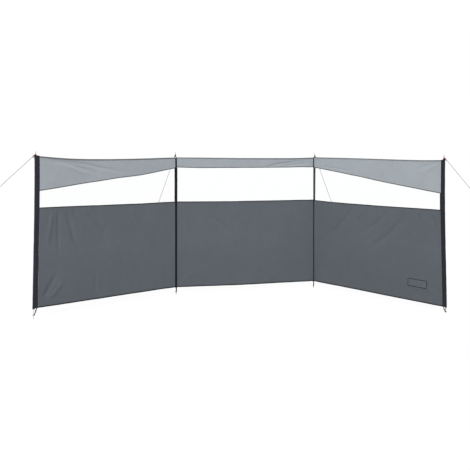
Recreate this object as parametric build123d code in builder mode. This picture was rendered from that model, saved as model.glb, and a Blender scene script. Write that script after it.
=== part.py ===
from build123d import *
import math
import os

# Beach windbreak: three equal bays of fabric held by four steel poles.
# Millimetres, +Z up. The origin is the foot of the inner left pole at ground
# level, +X runs along the centre bay and -Y is the sheltered side.

# ---- driving dimensions ----
bay = 1565.0            # seam to seam along the hem
right_bay = 1570.0      # the right wing's foot is splayed a little further
hem_z = 75.0            # bottom hem above the ground
panel_z = 1002.0        # top edge of the dark lower panel
fabric_z = 1475.0       # top edge of the fabric
band_inner = 113.0      # depth of the pale top band at the inner poles
band_outer = 325.0      # and at the outer poles
left_turn = 27.47       # degrees each wing is turned in from the centre bay
right_turn = 57.62
left_rise = 17.5        # the outer poles are pushed in less or more deeply
right_rise = -23.5
left_lean = 0.0140      # inward lean of the outer poles, as a slope
right_lean = 0.0118
inner_left_lean = 0.0052   # the inner poles' tops stand a little apart
inner_right_lean = 0.0101

cloth_t = 2.0           # panels and bands
film_t = 1.0            # clear windows
tape_t = 1.0
tube_r = 9.5
tube_wall = 1.0
spike_r = 4.0
collar_t = 3.0
tube_below = 6.0        # tube below the hem
cap_r = 9.5
cap_t = 16.0
boss_r = 3.4            # shoulder at the foot of the pin
boss_t = 13.0
pin_r = 2.5
pin_len = 38.0          # from the cap to the tip, shoulder included
sleeve_half = 26.5      # from an outer sleeve's centre line to its stitching
pole_out = 12.0         # the pole stands at the outer side of its sleeve
corner_x = -4.0         # the seam beside the inner left pole
cloth_y = -13.0         # mid-plane of the centre bay, in front of the inner poles
guy_r = 2.0
ring_r = 5.8            # the guy line's end loop, round the pin's shoulder
ring_wire = 2.0
ring_up = 7.4           # height of that loop over the cap
peg_r = 3.0
peg_h = 42.0
hook_r = 8.0
line_on_peg = 22.0
runner_from_peg = 260.0

os.makedirs("parts", exist_ok=True)


def save(part, label):
    part.label = label
    export_step(part, f"parts/{label}.step")
    print(f"{label}: {part.volume / 1000:.1f} cm3, valid {part.is_valid}")


# ---- plan of the four poles ----
def unit(degrees):
    return (math.cos(math.radians(degrees)), math.sin(math.radians(degrees)))


u_left = unit(left_turn)             # outer left to inner left
u_mid = (1.0, 0.0)
u_right = unit(-right_turn)          # inner right to outer right
f2 = (corner_x, cloth_y)
f3 = (corner_x + bay, cloth_y)
f1 = (f2[0] - bay * u_left[0], f2[1] - bay * u_left[1])
f4 = (f3[0] + right_bay * u_right[0], f3[1] + right_bay * u_right[1])


def bay_plane(start, u):
    # local x along the bay, local y up, normal to the sheltered side
    return Plane(origin=(start[0], start[1], 0), x_dir=(u[0], u[1], 0), z_dir=(u[1], -u[0], 0))


left_plane = bay_plane(f1, u_left)
mid_plane = bay_plane(f2, u_mid)
right_plane = bay_plane(f3, u_right)


def along(p, u, d):
    return (p[0] + u[0] * d, p[1] + u[1] * d)


# name, axis at the hem's height, the way it leans, lean, rise, x direction of its section,
# top of the cap above the fabric
poles = [
    ("outer_left", along(f1, u_left, -pole_out), u_left, left_lean, left_rise, u_left, 5.0),
    ("inner_left", (0.0, 0.0), (-1.0, 0.0), inner_left_lean, 0.0, u_mid, 21.0),
    ("inner_right", (f3[0] + 2.0, 0.0), (1.0, 0.0), inner_right_lean, 0.0, u_mid, 13.0),
    ("outer_right", along(f4, u_right, pole_out), (-u_right[0], -u_right[1]), right_lean, right_rise, u_right, 15.0),
]


def axis_plane(at, inward, lean, rise, x_dir):
    # the inner left pole's foot, at the origin, is where it meets the ground
    back = 0.0 if at == (0.0, 0.0) else lean * (hem_z + rise)
    return Plane(
        origin=(at[0] - inward[0] * back, at[1] - inward[1] * back, 0),
        x_dir=(x_dir[0], x_dir[1], -lean * (inward[0] * x_dir[0] + inward[1] * x_dir[1])),
        z_dir=(inward[0] * lean, inward[1] * lean, 1),
    )


# ---- poles: tube, top with its pin, ground spike ----
for name, at, inward, lean, rise, x_dir, cap_up in poles:
    stem = axis_plane(at, inward, lean, rise, x_dir)
    low = hem_z + rise - tube_below
    high = fabric_z + rise + cap_up - cap_t

    with BuildPart() as tube:
        with BuildSketch(stem.offset(low)):
            Circle(tube_r)
            Circle(tube_r - tube_wall, mode=Mode.SUBTRACT)
        extrude(amount=high - low)
    save(tube.part, f"{name}_tube")

    with BuildPart() as top:
        with BuildSketch(stem.offset(high)):
            Circle(cap_r)
        extrude(amount=cap_t)
        chamfer(top.edges().group_by(Axis.Z)[-1], length=2.0)
        with BuildSketch(stem.offset(high)):
            Circle(tube_r - tube_wall - 0.1)
        extrude(amount=-14)
        with BuildSketch(stem.offset(high + cap_t)):
            Circle(boss_r)
        extrude(amount=boss_t)
        with BuildSketch(stem.offset(high + cap_t)):
            Circle(pin_r)
        extrude(amount=pin_len)
        chamfer(top.edges().group_by(Axis.Z)[-1], length=0.8)
    save(top.part, f"{name}_cap_and_pin")

    with BuildPart() as spike:
        with BuildSketch(stem.offset(low)):
            Circle(tube_r - 0.7)
        extrude(amount=-collar_t)
        with BuildSketch(stem.offset(low)):
            Circle(tube_r - tube_wall - 0.1)
        extrude(amount=18)
        with BuildSketch(stem.offset(low)):
            Circle(spike_r)
        extrude(amount=-(low + 10))
        split(bisect_by=Plane.XY, keep=Keep.TOP)
    save(spike.part, f"{name}_ground_spike")

# ---- pole sleeves ----
for name, at, inward, lean, rise, x_dir, cap_up in (poles[0], poles[3]):
    stem = axis_plane(at, inward, lean, rise, x_dir)
    # the pole fills the outer side, and the rest lies flat as far as the stitching
    flat_end = (sleeve_half + pole_out - 1.0) * (1 if name == "outer_left" else -1)
    with BuildPart() as sleeve:
        with BuildSketch(stem.offset(hem_z + rise)):
            Circle(tube_r + 1.7)
            with Locations((flat_end, 0)):
                Circle(1.0)
            make_hull()
            Circle(tube_r + 0.1, mode=Mode.SUBTRACT)
        extrude(amount=fabric_z - hem_z)
    save(sleeve.part, f"{name}_pole_sleeve")

for name, at, inward, lean, rise, x_dir, cap_up, tips in (
    (*poles[1], (-2.0, 10.0)),
    (*poles[2], (-10.0, 2.0)),
):
    stem = axis_plane(at, inward, lean, rise, x_dir)
    with BuildPart() as sleeve:
        with BuildSketch(stem.offset(hem_z)):
            Circle(tube_r + 1.7)
            with Locations((tips[0], -11.3), (tips[1], -11.3)):
                Circle(0.7)
            make_hull()
            Circle(tube_r + 0.1, mode=Mode.SUBTRACT)
        extrude(amount=fabric_z - hem_z)
    save(sleeve.part, f"{name}_pole_sleeve")

# ---- bays: dark lower panel, clear window, pale top band ----
gap = 1.0   # from a corner of the plan to the cloth on each side of it


def left_s(z):
    return left_lean * (z - hem_z) + sleeve_half + 0.05


def right_s(z):
    return right_bay - right_lean * (z - hem_z) - sleeve_half - 0.05


def bay_piece(plane, s0, s1, low, high, rise0, rise1, thick, sag=()):
    # low and high are the heights of the lower and upper edge at each end,
    # and sag is how far the upper edge hangs between them, point by point
    corners = [
        (s0(low[0]), low[0] + rise0),
        (s1(low[1]), low[1] + rise1),
        (s1(high[1]), high[1] + rise1),
        (s0(high[0]), high[0] + rise0),
    ]
    (xa, ya), (xb, yb) = corners[3], corners[2]
    hung = [(x, ya + (yb - ya) * (x - xa) / (xb - xa) - d) for x, d in sag]
    with BuildPart() as piece:
        with BuildSketch(plane):
            with BuildLine():
                Polyline(corners[3], corners[0], corners[1], corners[2])
                if hung:
                    Spline(corners[2], *reversed(hung), corners[3])
                else:
                    Line(corners[2], corners[3])
            make_face()
        extrude(amount=thick / 2, both=True)
    return piece.part


band_out = fabric_z - band_outer
band_in = fabric_z - band_inner
sag_left = ((250, 17.0), (550, 24.5), (900, 20.5), (1240, 9.4))
sag_mid = ((400, 4.0), (1000, 6.3), (1350, 5.0))
sag_right = ((600, 1.2), (1090, 5.8), (1350, 4.0))
for name, plane, s0, s1, rise0, rise1, b0, b1, sag in (
    ("left", left_plane, left_s, lambda z: bay - gap, left_rise, 0.0, band_out, band_in, sag_left),
    ("centre", mid_plane, lambda z: gap, lambda z: bay - gap, 0.0, 0.0, band_in, band_in, sag_mid),
    ("right", right_plane, lambda z: gap, right_s, 0.0, right_rise, band_in, band_out, sag_right),
):
    save(
        bay_piece(plane, s0, s1, (hem_z, hem_z), (panel_z, panel_z), rise0, rise1, cloth_t),
        f"{name}_lower_panel",
    )
    save(
        bay_piece(plane, s0, s1, (panel_z, panel_z), (b0, b1), rise0, rise1, film_t),
        f"{name}_window",
    )
    save(
        bay_piece(plane, s0, s1, (b0, b1), (fabric_z, fabric_z), rise0, rise1, cloth_t, sag),
        f"{name}_top_band",
    )

# ---- seam tapes on the sheltered side, where the bays meet at the inner poles ----
for name, corner, u_a, u_b, wide in (
    ("inner_left", f2, u_mid, (-u_left[0], -u_left[1]), 12.0),
    ("inner_right", f3, u_right, (-1.0, 0.0), 7.0),
):
    # normals of the two cloths towards the sheltered side
    n_a = (u_a[1], -u_a[0])
    n_b = (-u_b[1], u_b[0])
    m = (n_a[0] + n_b[0], n_a[1] + n_b[1])
    size = math.hypot(*m)
    m = (m[0] / size, m[1] / size)
    c = m[0] * n_a[0] + m[1] * n_a[1]
    near, far = cloth_t / 2, cloth_t / 2 + tape_t

    def spot(n, h, u=(0, 0), along=0.0):
        return (corner[0] + n[0] * h + u[0] * along, corner[1] + n[1] * h + u[1] * along)

    outline = [
        spot(m, near / c),
        spot(n_a, near, u_a, wide),
        spot(n_a, far, u_a, wide),
        spot(m, far / c),
        spot(n_b, far, u_b, wide),
        spot(n_b, near, u_b, wide),
    ]
    with BuildPart() as tape:
        with BuildSketch(Plane.XY.offset(hem_z)):
            with BuildLine():
                Polyline(*outline, close=True)
            make_face()
        extrude(amount=fabric_z - hem_z)
    save(tape.part, f"{name}_seam_tape")

# ---- elastic loops at the feet ----
# each is sewn to the hem, knotted part way, and wound round the spike
# name: where it leaves the hem, from the pole (along the cloth, across it); half width of its doubled cord;
# wound radius, bottom and height; knot
loops = {
    "outer_left": ((pole_out + 18.0, 0.0), 4.0, (8.6, 28.0, 9.0), (6.0, 12.0, 0.42)),
    "inner_left": ((2.6, cloth_y - 1.6), 4.6, (8.8, 24.0, 11.0), (6.0, 10.0, 0.62)),
    "inner_right": ((-1.0, cloth_y - 0.4), 3.4, (8.4, 23.0, 10.0), (4.8, 8.0, 0.62)),
    "outer_right": ((-(pole_out + 13.0), 0.0), 4.0, (8.6, 3.0, 9.0), (5.6, 11.0, 0.62)),
}
for name, at, inward, lean, rise, x_dir, cap_up in poles:
    (hem_x, hem_y), loop_r, (wound_r, wound_z, wound_h), (knot_r, knot_l, knot_at) = loops[name]
    stem = axis_plane(at, inward, lean, rise, x_dir)
    # local x along the cloth, local y towards the back
    start = stem.from_local_coords(Vector(hem_x, hem_y, hem_z + rise - 2.4))
    towards = Vector(hem_x, hem_y, 0).normalized() * (wound_r - 1.2)
    end = stem.from_local_coords(towards + Vector(0, 0, wound_z + wound_h / 2))
    run = end - start
    with BuildPart() as loop:
        with BuildSketch(stem.offset(wound_z)):
            Circle(wound_r)
            Circle(spike_r + 0.1, mode=Mode.SUBTRACT)
        extrude(amount=wound_h)
        fillet(loop.edges().filter_by(GeomType.CIRCLE).sort_by(SortBy.RADIUS)[-2:], radius=min(wound_h / 2 - 0.4, 3.2))
        with BuildSketch(Plane(origin=start, z_dir=run)):
            Circle(loop_r)
        extrude(amount=run.length)
        with BuildSketch(Plane(origin=start + run * knot_at - run.normalized() * knot_l / 2, z_dir=run)):
            Circle(knot_r)
        extrude(amount=knot_l)
        # the cord lies against the spike
        with BuildSketch(stem):
            Circle(spike_r + 0.1)
        extrude(amount=hem_z, mode=Mode.SUBTRACT)
    save(loop.part, f"{name}_foot_loop")

# ---- guy lines, their runners and pegs ----
# horizontal run from the pole to the peg, and its direction in plan
guys = [
    (poles[0], 1678.0, (-u_left[0], -u_left[1])),
    (poles[1], 1226.0, unit(104.0 + 4.5)),
    (poles[2], 1318.0, unit(61.2 - 15.5)),
    (poles[3], 1296.0, u_right),
]
for (name, at, inward, lean, rise, x_dir, cap_up), run, away in guys:
    stem = axis_plane(at, inward, lean, rise, x_dir)
    up = fabric_z + rise + cap_up + ring_up
    pin_at = stem.from_local_coords(Vector(0, 0, up))
    # the loop is pulled towards the peg, so its far side bears on the shoulder
    pull = ring_r - ring_wire - boss_r
    ring_at = pin_at + Vector(away[0] * pull, away[1] * pull, 0)
    start = ring_at + Vector(away[0] * ring_r, away[1] * ring_r, 0)
    peg_at = Vector(at[0] + away[0] * run, at[1] + away[1] * run, 0)
    end = peg_at + Vector(-away[0] * peg_r, -away[1] * peg_r, line_on_peg)
    line = end - start

    with BuildPart() as guy:
        with BuildSketch(Plane(origin=start, z_dir=line)):
            Circle(guy_r)
        extrude(amount=line.length - guy_r * 1.4)
        with Locations(Location(ring_at)):
            Torus(ring_r, ring_wire)
    save(guy.part, f"{name}_guy_line")

    runner_at = end - line.normalized() * runner_from_peg
    with BuildPart() as runner:
        with BuildSketch(Plane(origin=runner_at, x_dir=(-away[1], away[0], 0), z_dir=line)):
            RectangleRounded(15, 6, 2.4)
            Circle(guy_r + 0.1, mode=Mode.SUBTRACT)
        extrude(amount=22, both=True)
    save(runner.part, f"{name}_guy_runner")

    with BuildPart() as peg:
        peg_plane = Plane(
            origin=peg_at, x_dir=(away[0], away[1], 0), z_dir=(away[1], -away[0], 0)
        )
        with BuildLine(peg_plane) as path:
            Line((0, 0), (0, peg_h))
            ThreePointArc((0, peg_h), (hook_r, peg_h + hook_r), (2 * hook_r, peg_h))
            Line((2 * hook_r, peg_h), (2 * hook_r, peg_h - 12))
        with BuildSketch(Plane(origin=peg_at)):
            Circle(peg_r)
        sweep(path=path.wires()[0])
    save(peg.part, f"{name}_guy_peg")

# ---- blank sewn patch near the foot of the right bay ----
patch_s = 1286.0
patch_z = 235.5
patch_w = 208.0
patch_h = 78.0
slope = right_rise / right_bay
with BuildPart() as patch:
    with BuildSketch(right_plane.offset(cloth_t / 2)):
        with Locations(Location((patch_s, patch_z, 0), (0, 0, math.degrees(math.atan(slope))))):
            RectangleRounded(patch_w, patch_h, 4)
    extrude(amount=tape_t)
save(patch.part, "blank_patch")
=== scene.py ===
import math

import bpy
import numpy as np
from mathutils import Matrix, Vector


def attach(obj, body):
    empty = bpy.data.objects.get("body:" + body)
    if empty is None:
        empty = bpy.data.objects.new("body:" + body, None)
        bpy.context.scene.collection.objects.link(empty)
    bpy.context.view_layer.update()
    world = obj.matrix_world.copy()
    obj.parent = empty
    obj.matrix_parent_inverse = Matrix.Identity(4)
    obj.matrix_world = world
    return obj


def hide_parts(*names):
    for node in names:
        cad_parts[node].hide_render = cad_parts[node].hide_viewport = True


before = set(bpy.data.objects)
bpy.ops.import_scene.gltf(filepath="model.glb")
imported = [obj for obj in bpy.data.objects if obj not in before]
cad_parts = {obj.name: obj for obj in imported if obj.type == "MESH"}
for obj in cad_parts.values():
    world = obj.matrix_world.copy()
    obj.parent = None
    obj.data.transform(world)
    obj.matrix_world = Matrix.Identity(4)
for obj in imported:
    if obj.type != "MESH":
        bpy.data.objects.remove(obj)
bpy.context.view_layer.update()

TAU = 2 * math.pi

# ---------------------------------------------------------------- layout
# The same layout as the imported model, in metres.
BAY, RIGHT_BAY = 1.565, 1.570
HEM, PANEL, TOP = 0.075, 1.002, 1.475
BAND_IN, BAND_OUT = 0.113, 0.325
RISE_L, RISE_R = 0.0175, -0.0235
HALF = 0.0265
POLE_OUT = 0.012
TUBE_R = 0.0095
BOW_L, BOW_R, BOW_SEAM = 0.0043, 0.0066, 0.0085


def unit(deg):
    return np.array([math.cos(math.radians(deg)), math.sin(math.radians(deg))])


U_L, U_C, U_R = unit(27.47), np.array([1.0, 0.0]), unit(-57.62)
F2 = np.array([-0.004, -0.013])
F3 = F2 + BAY * U_C
F1 = F2 - BAY * U_L
F4 = F3 + RIGHT_BAY * U_R


def smooth(t):
    t = np.clip(t, 0, 1)
    return t * t * (3 - 2 * t)


def curve(points, soft=0.05):
    """A smooth function through measured points (s in metres, value in mm), returned in metres."""
    xs = np.array([p[0] for p in points], float)
    ys = np.array([p[1] for p in points], float) / 1000
    t = np.linspace(-0.2, 1.8, 801)
    v = np.interp(t, xs, ys)
    k = np.exp(-0.5 * (np.arange(-60, 61) * (t[1] - t[0]) / soft) ** 2)
    v = np.convolve(np.pad(v, 60, mode="edge"), k / k.sum(), mode="valid")
    return lambda s: np.interp(s, t, v)


_tables = {}


def noise2(x, y, seed):
    """Smooth value noise from -1 to 1, the same each run."""
    if seed not in _tables:
        _tables[seed] = np.random.RandomState(seed).uniform(-1, 1, (64, 64))
    g = _tables[seed]
    x, y = np.broadcast_arrays(np.asarray(x, float), np.asarray(y, float))
    i, j = np.floor(x).astype(int), np.floor(y).astype(int)
    u, v = smooth(x - i), smooth(y - j)
    a, b = g[i % 64, j % 64], g[(i + 1) % 64, j % 64]
    c, d = g[i % 64, (j + 1) % 64], g[(i + 1) % 64, (j + 1) % 64]
    return (a * (1 - u) + b * u) * (1 - v) + (c * (1 - u) + d * u) * v


def ridge(s, z, points, amp, width):
    """A fold that follows a line of points, fading towards its ends. amp and width in mm."""
    p = np.array(points, float)
    best = np.full(np.shape(s), 1e9)
    where = np.zeros(np.shape(s))
    lengths = np.hypot(*(p[1:] - p[:-1]).T)
    total, run = lengths.sum(), 0.0
    for a, b, n in zip(p[:-1], p[1:], lengths):
        t = np.clip(((s - a[0]) * (b[0] - a[0]) + (z - a[1]) * (b[1] - a[1])) / n**2, 0, 1)
        d = np.hypot(s - a[0] - t * (b[0] - a[0]), z - a[1] - t * (b[1] - a[1]))
        near = d < best
        best = np.where(near, d, best)
        where = np.where(near, (run + t * n) / total, where)
        run += n
    along = smooth(where / 0.18) * smooth((1 - where) / 0.45)
    return amp / 1000 * np.exp(-0.5 * (best * 1000 / width) ** 2) * along


class Bay:
    """One bay of cloth: s runs along it, z up, and d out of the cloth towards the sheltered side."""

    def __init__(self, name, at, u, rise0, rise1, length, edges, folds, seed):
        self.name, self.at, self.u = name, at, u
        self.n = np.array([u[1], -u[0]])
        self.rise0, self.rise1, self.length = rise0, rise1, length
        self.shape = {k: curve(v, 0.03 if k == "top" else 0.045) for k, v in edges.items()}
        self.folds, self.seed = folds, seed
        self.extra = 0.0

    def rise(self, s):
        return self.rise0 + (self.rise1 - self.rise0) * np.asarray(s) / self.length

    def s0(self, z):
        if self.name == "left":
            return 0.0140 * (z - HEM) + HALF + bow(z, BOW_L)
        return 0.001 + 0 * np.asarray(z)

    def s1(self, z):
        if self.name == "right":
            return self.length - 0.0118 * (z - HEM) - HALF - bow(z, BOW_SEAM) + self.extra
        return self.length - 0.001 + 0 * np.asarray(z)

    def hem(self, s):
        return HEM + self.rise(s) + self.shape["hem"](s)

    def panel_top(self, s):
        return PANEL + self.rise(s) + self.shape["panel"](s)

    def band_low(self, s):
        deep = {
            "left": BAND_OUT + (BAND_IN - BAND_OUT) * s / self.length,
            "centre": BAND_IN + 0 * s,
            "right": BAND_IN + (BAND_OUT - BAND_IN) * s / self.length,
        }[self.name]
        return TOP - deep + self.rise(s) + self.shape["band"](s)

    def top(self, s):
        return TOP + self.rise(s) + self.shape["top"](s)

    def depth(self, s, z):
        """How far the cloth stands from its plane."""
        s, z = np.broadcast_arrays(np.asarray(s, float), np.asarray(z, float))
        d = np.zeros(s.shape)
        panel, band = {"left": (2.2, 1.5), "centre": (1.7, 2.6), "right": (2.1, 1.5)}[self.name]
        for points, amp, width in self.folds:
            d = d + ridge(s, z, points, amp * (band if points[0][1] > 1.2 else panel), width)
        k = self.seed
        # slack cloth: long soft undulations, then small ones along the weave's bias
        d = d + 0.0034 * noise2(s * 2.1 + 3, z * 1.3 + 1, k) + 0.0022 * noise2(s * 4.3 + 9, z * 3.1, k + 1)
        a, b = (s + z) * 0.7071, (s - z) * 0.7071
        d = d + 0.0011 * noise2(a * 9, b * 3.2 + 4, k + 2) + 0.0011 * noise2(b * 10 + 7, a * 3.0, k + 3)
        d = d + 0.0005 * noise2(s * 26, z * 18, k + 4)
        # the lower edge hangs free and turns out a little
        low = np.clip(1 - (z - self.hem(s)) / 0.14, 0, 1)
        d = d + 0.0045 * low**2 * (0.6 + 0.4 * noise2(s * 3, 0 * s, k + 5))
        end = self.s1(z) - self.extra
        near = np.minimum(s - self.s0(z), end - s)
        d = d * smooth((near + 0.006) / 0.075)
        if self.extra:
            # the band laps over the flap of the sleeve
            d = d + 0.0023 * smooth((s - end + 0.024) / 0.024)
        return d

    def point(self, s, z, d=0.0):
        s, z, d = np.broadcast_arrays(np.asarray(s, float), np.asarray(z, float), np.asarray(d, float))
        return np.stack(
            [self.at[0] + self.u[0] * s + self.n[0] * d, self.at[1] + self.u[1] * s + self.n[1] * d, z], axis=-1
        )

    def on(self, s, z, lift=0.0):
        """A point on the cloth, lifted off its middle."""
        return self.point(s, z, self.depth(s, z) + lift)


def bow(z, mm):
    """The wing poles bend a little between hem and top, most a little over their middle."""
    t = np.clip((np.asarray(z, float) - HEM) / (TOP - HEM), 0, 1)
    return mm * np.sin(math.pi * t**1.5)


bays = [
    Bay(
        "left", F1, U_L, RISE_L, 0.0, BAY,
        {
            "top": [(0, -2.3), (.049, -3.5), (.145, -11.8), (.244, -18.6), (.345, -23.5), (.448, -26.1), (.553, -27.0), (.771, -25.5), (.999, -20.3), (1.238, -12.7), (1.489, -3.2), (1.565, -0.8)],
            "band": [(0, -3.1), (.244, -4.6), (.448, -3.3), (.661, -4.9), (.884, -5.3), (.999, -11.5), (1.117, -15.0), (1.238, -11.9), (1.362, -8.0), (1.489, -2.9), (1.565, -0.1)],
            "panel": [(0, -3.9), (.244, -3.1), (.448, -3.8), (.661, -5.1), (.884, -5.4), (1.117, -6.6), (1.362, -3.3), (1.565, -1.9)],
            "hem": [(0, 2.7), (.244, 2.2), (.448, 4.3), (.661, 4.3), (.884, 3.5), (1.117, 4.8), (1.362, 7.2), (1.565, 4.2)],
        },
        [
            ([(.294, .985), (.349, .838), (.394, .667), (.474, .534), (.52, .423)], -5.0, 15),
            ([(.361, .99), (.417, .875), (.474, .766)], -3.4, 12),
            ([(.485, .985), (.554, .888), (.684, .75), (.732, .659), (.83, .541)], -4.6, 15),
            ([(.566, .985), (.637, .904), (.696, .814)], -2.6, 12),
            ([(.993, .975), (1.083, .877), (1.162, .804)], 2.4, 12),
            ([(.174, .985), (.132, .752), (.11, .591)], 3.4, 12),
            ([(.228, .99), (.228, .72), (.232, .497)], -3.6, 11),
            ([(.079, .169), (.15, .29), (.228, .415)], -4.0, 14),
            ([(.142, .16), (.215, .24), (.294, .34)], 3.0, 13),
            ([(.613, .155), (.613, .26), (.613, .37)], -2.4, 11),
            ([(.113, 1.462), (.362, 1.405), (.535, 1.355), (.715, 1.286)], -4.2, 9),
            ([(.178, 1.454), (.5, 1.412), (.661, 1.378), (.846, 1.342), (1.038, 1.322)], -4.2, 8.5),
            ([(.294, 1.406), (.448, 1.34), (.625, 1.297)], 3.0, 9),
            ([(.12, 1.44), (.2, 1.36), (.3, 1.26)], 2.6, 10),
        ],
        11,
    ),
    Bay(
        "centre", F2, U_C, 0.0, 0.0, BAY,
        {
            "top": [(0, 0.1), (.1, -1.2), (.263, -2.4), (.709, -8.2), (1.284, -9.2), (1.45, -6.4), (1.565, -1.1)],
            "band": [(0, 7.4), (.263, -1.1), (.765, 0.1), (1.25, 1.3), (1.402, 5.1), (1.565, 2.5)],
            "panel": [(0, -1.9), (.4, -6.0), (.596, -8.3), (.709, -6.9), (.936, -5.8), (1.168, -6.5), (1.402, -3.9), (1.565, -4.6)],
            "hem": [(0, 3.1), (.263, 1.2), (.484, -1.3), (.709, -3.3), (.936, -0.1), (1.168, 1.7), (1.402, 2.4), (1.565, 3.6)],
        },
        [
            ([(.305, .865), (.475, .766), (.671, .617), (.79, .57)], -3.0, 12),
            ([(.982, 1.369), (1.175, 1.405), (1.331, 1.424), (1.548, 1.440)], -3.0, 7),
            ([(1.175, 1.379), (1.41, 1.404), (1.548, 1.413)], -3.0, 7),
            ([(.05, .12), (.16, .2), (.3, .3)], 1.8, 14),
        ],
        31,
    ),
    Bay(
        "right", F3, U_R, 0.0, RISE_R, RIGHT_BAY,
        {
            "top": [(0, 2.4), (.06, 0.3), (.36, -0.2), (.618, -1.6), (.862, -3.8), (1.094, -5.9), (1.314, -6.8), (1.42, -4.7), (1.52, -2.3), (1.57, -2.3)],
            "band": [(0, -0.1), (.226, 2.1), (.36, 1.8), (.618, 0.3), (.862, -3.8), (1.094, -2.9), (1.314, -2.6), (1.42, -2.1), (1.57, 0.6)],
            "panel": [(0, -9.2), (.226, -14.0), (.491, -14.9), (.741, -13.9), (.979, -11.3), (1.205, -8.0), (1.42, -4.7), (1.57, -4.6)],
            "hem": [(0, 2.9), (.226, 2.2), (.491, 2.6), (.741, 0.7), (.979, 0.6), (1.205, 0.6), (1.42, 0.4), (1.57, -0.9)],
        },
        [
            ([(.539, .95), (.427, .82), (.223, .624), (.087, .526)], -4.0, 11),
            ([(.704, .93), (.622, .834), (.511, .755)], -2.8, 13),
            ([(.965, .955), (.888, .852), (.757, .751), (.622, .659)], -4.2, 14),
            ([(1.164, .935), (1.066, .798), (.965, .701), (.81, .574), (.622, .439)], -5.2, 16),
            ([(1.319, .935), (1.284, .815), (1.26, .705)], -3.2, 12),
            ([(1.45, .93), (1.47, .80), (1.475, .66)], -3.0, 11),
            ([(1.541, 1.445), (1.385, 1.395), (1.205, 1.327)], -3.0, 8),
            ([(1.524, 1.421), (1.42, 1.371), (1.314, 1.304)], 3.0, 8),
            ([(.088, 1.381), (.35, 1.35), (.618, 1.316)], -1.6, 7),
            ([(1.5, .14), (1.38, .2), (1.22, .17)], 2.2, 14),
        ],
        51,
    ),
]
left, centre, right = bays


class Pole:
    def __init__(self, name, at, inward, lean, rise, x_dir, cap_up, bend):
        self.name = name
        back = 0.0 if name == "inner_left" else lean * (HEM + rise)
        self.foot = np.array([at[0] - inward[0] * back, at[1] - inward[1] * back, 0.0])
        axis = np.array([inward[0] * lean, inward[1] * lean, 1.0])
        self.axis = axis / np.linalg.norm(axis)
        x = np.array([x_dir[0], x_dir[1], -lean * (inward[0] * x_dir[0] + inward[1] * x_dir[1])])
        self.x = x / np.linalg.norm(x)
        self.y = np.cross(self.axis, self.x)
        self.at, self.inward, self.rise, self.cap_up, self.bend = at, inward, rise, cap_up, bend

    def local(self, x, y, h):
        """A point given along the cloth, towards the back, and along the axis; a wing pole is a little bent."""
        x, y, h = np.broadcast_arrays(np.asarray(x, float), np.asarray(y, float), np.asarray(h, float))
        b = bow(h - self.rise, self.bend)[..., None] * np.array([self.inward[0], self.inward[1], 0.0])
        return self.foot + self.x * x[..., None] + self.y * y[..., None] + self.axis * h[..., None] + b

    def stiff(self, x, y, h):
        return self.foot + self.x * x + self.y * y + self.axis * h


poles = [
    Pole("outer_left", F1 - POLE_OUT * U_L, U_L, 0.0140, RISE_L, U_L, 0.005, BOW_L),
    Pole("inner_left", np.zeros(2), np.array([-1.0, 0.0]), 0.0052, 0.0, U_C, 0.021, 0.0),
    Pole("inner_right", F3 + np.array([0.002, 0.013]), np.array([1.0, 0.0]), 0.0101, 0.0, U_C, 0.013, 0.0003),
    Pole("outer_right", F4 + POLE_OUT * U_R, -U_R, 0.0118, RISE_R, U_R, 0.015, BOW_R),
]
P1, P2, P3, P4 = poles


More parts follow.
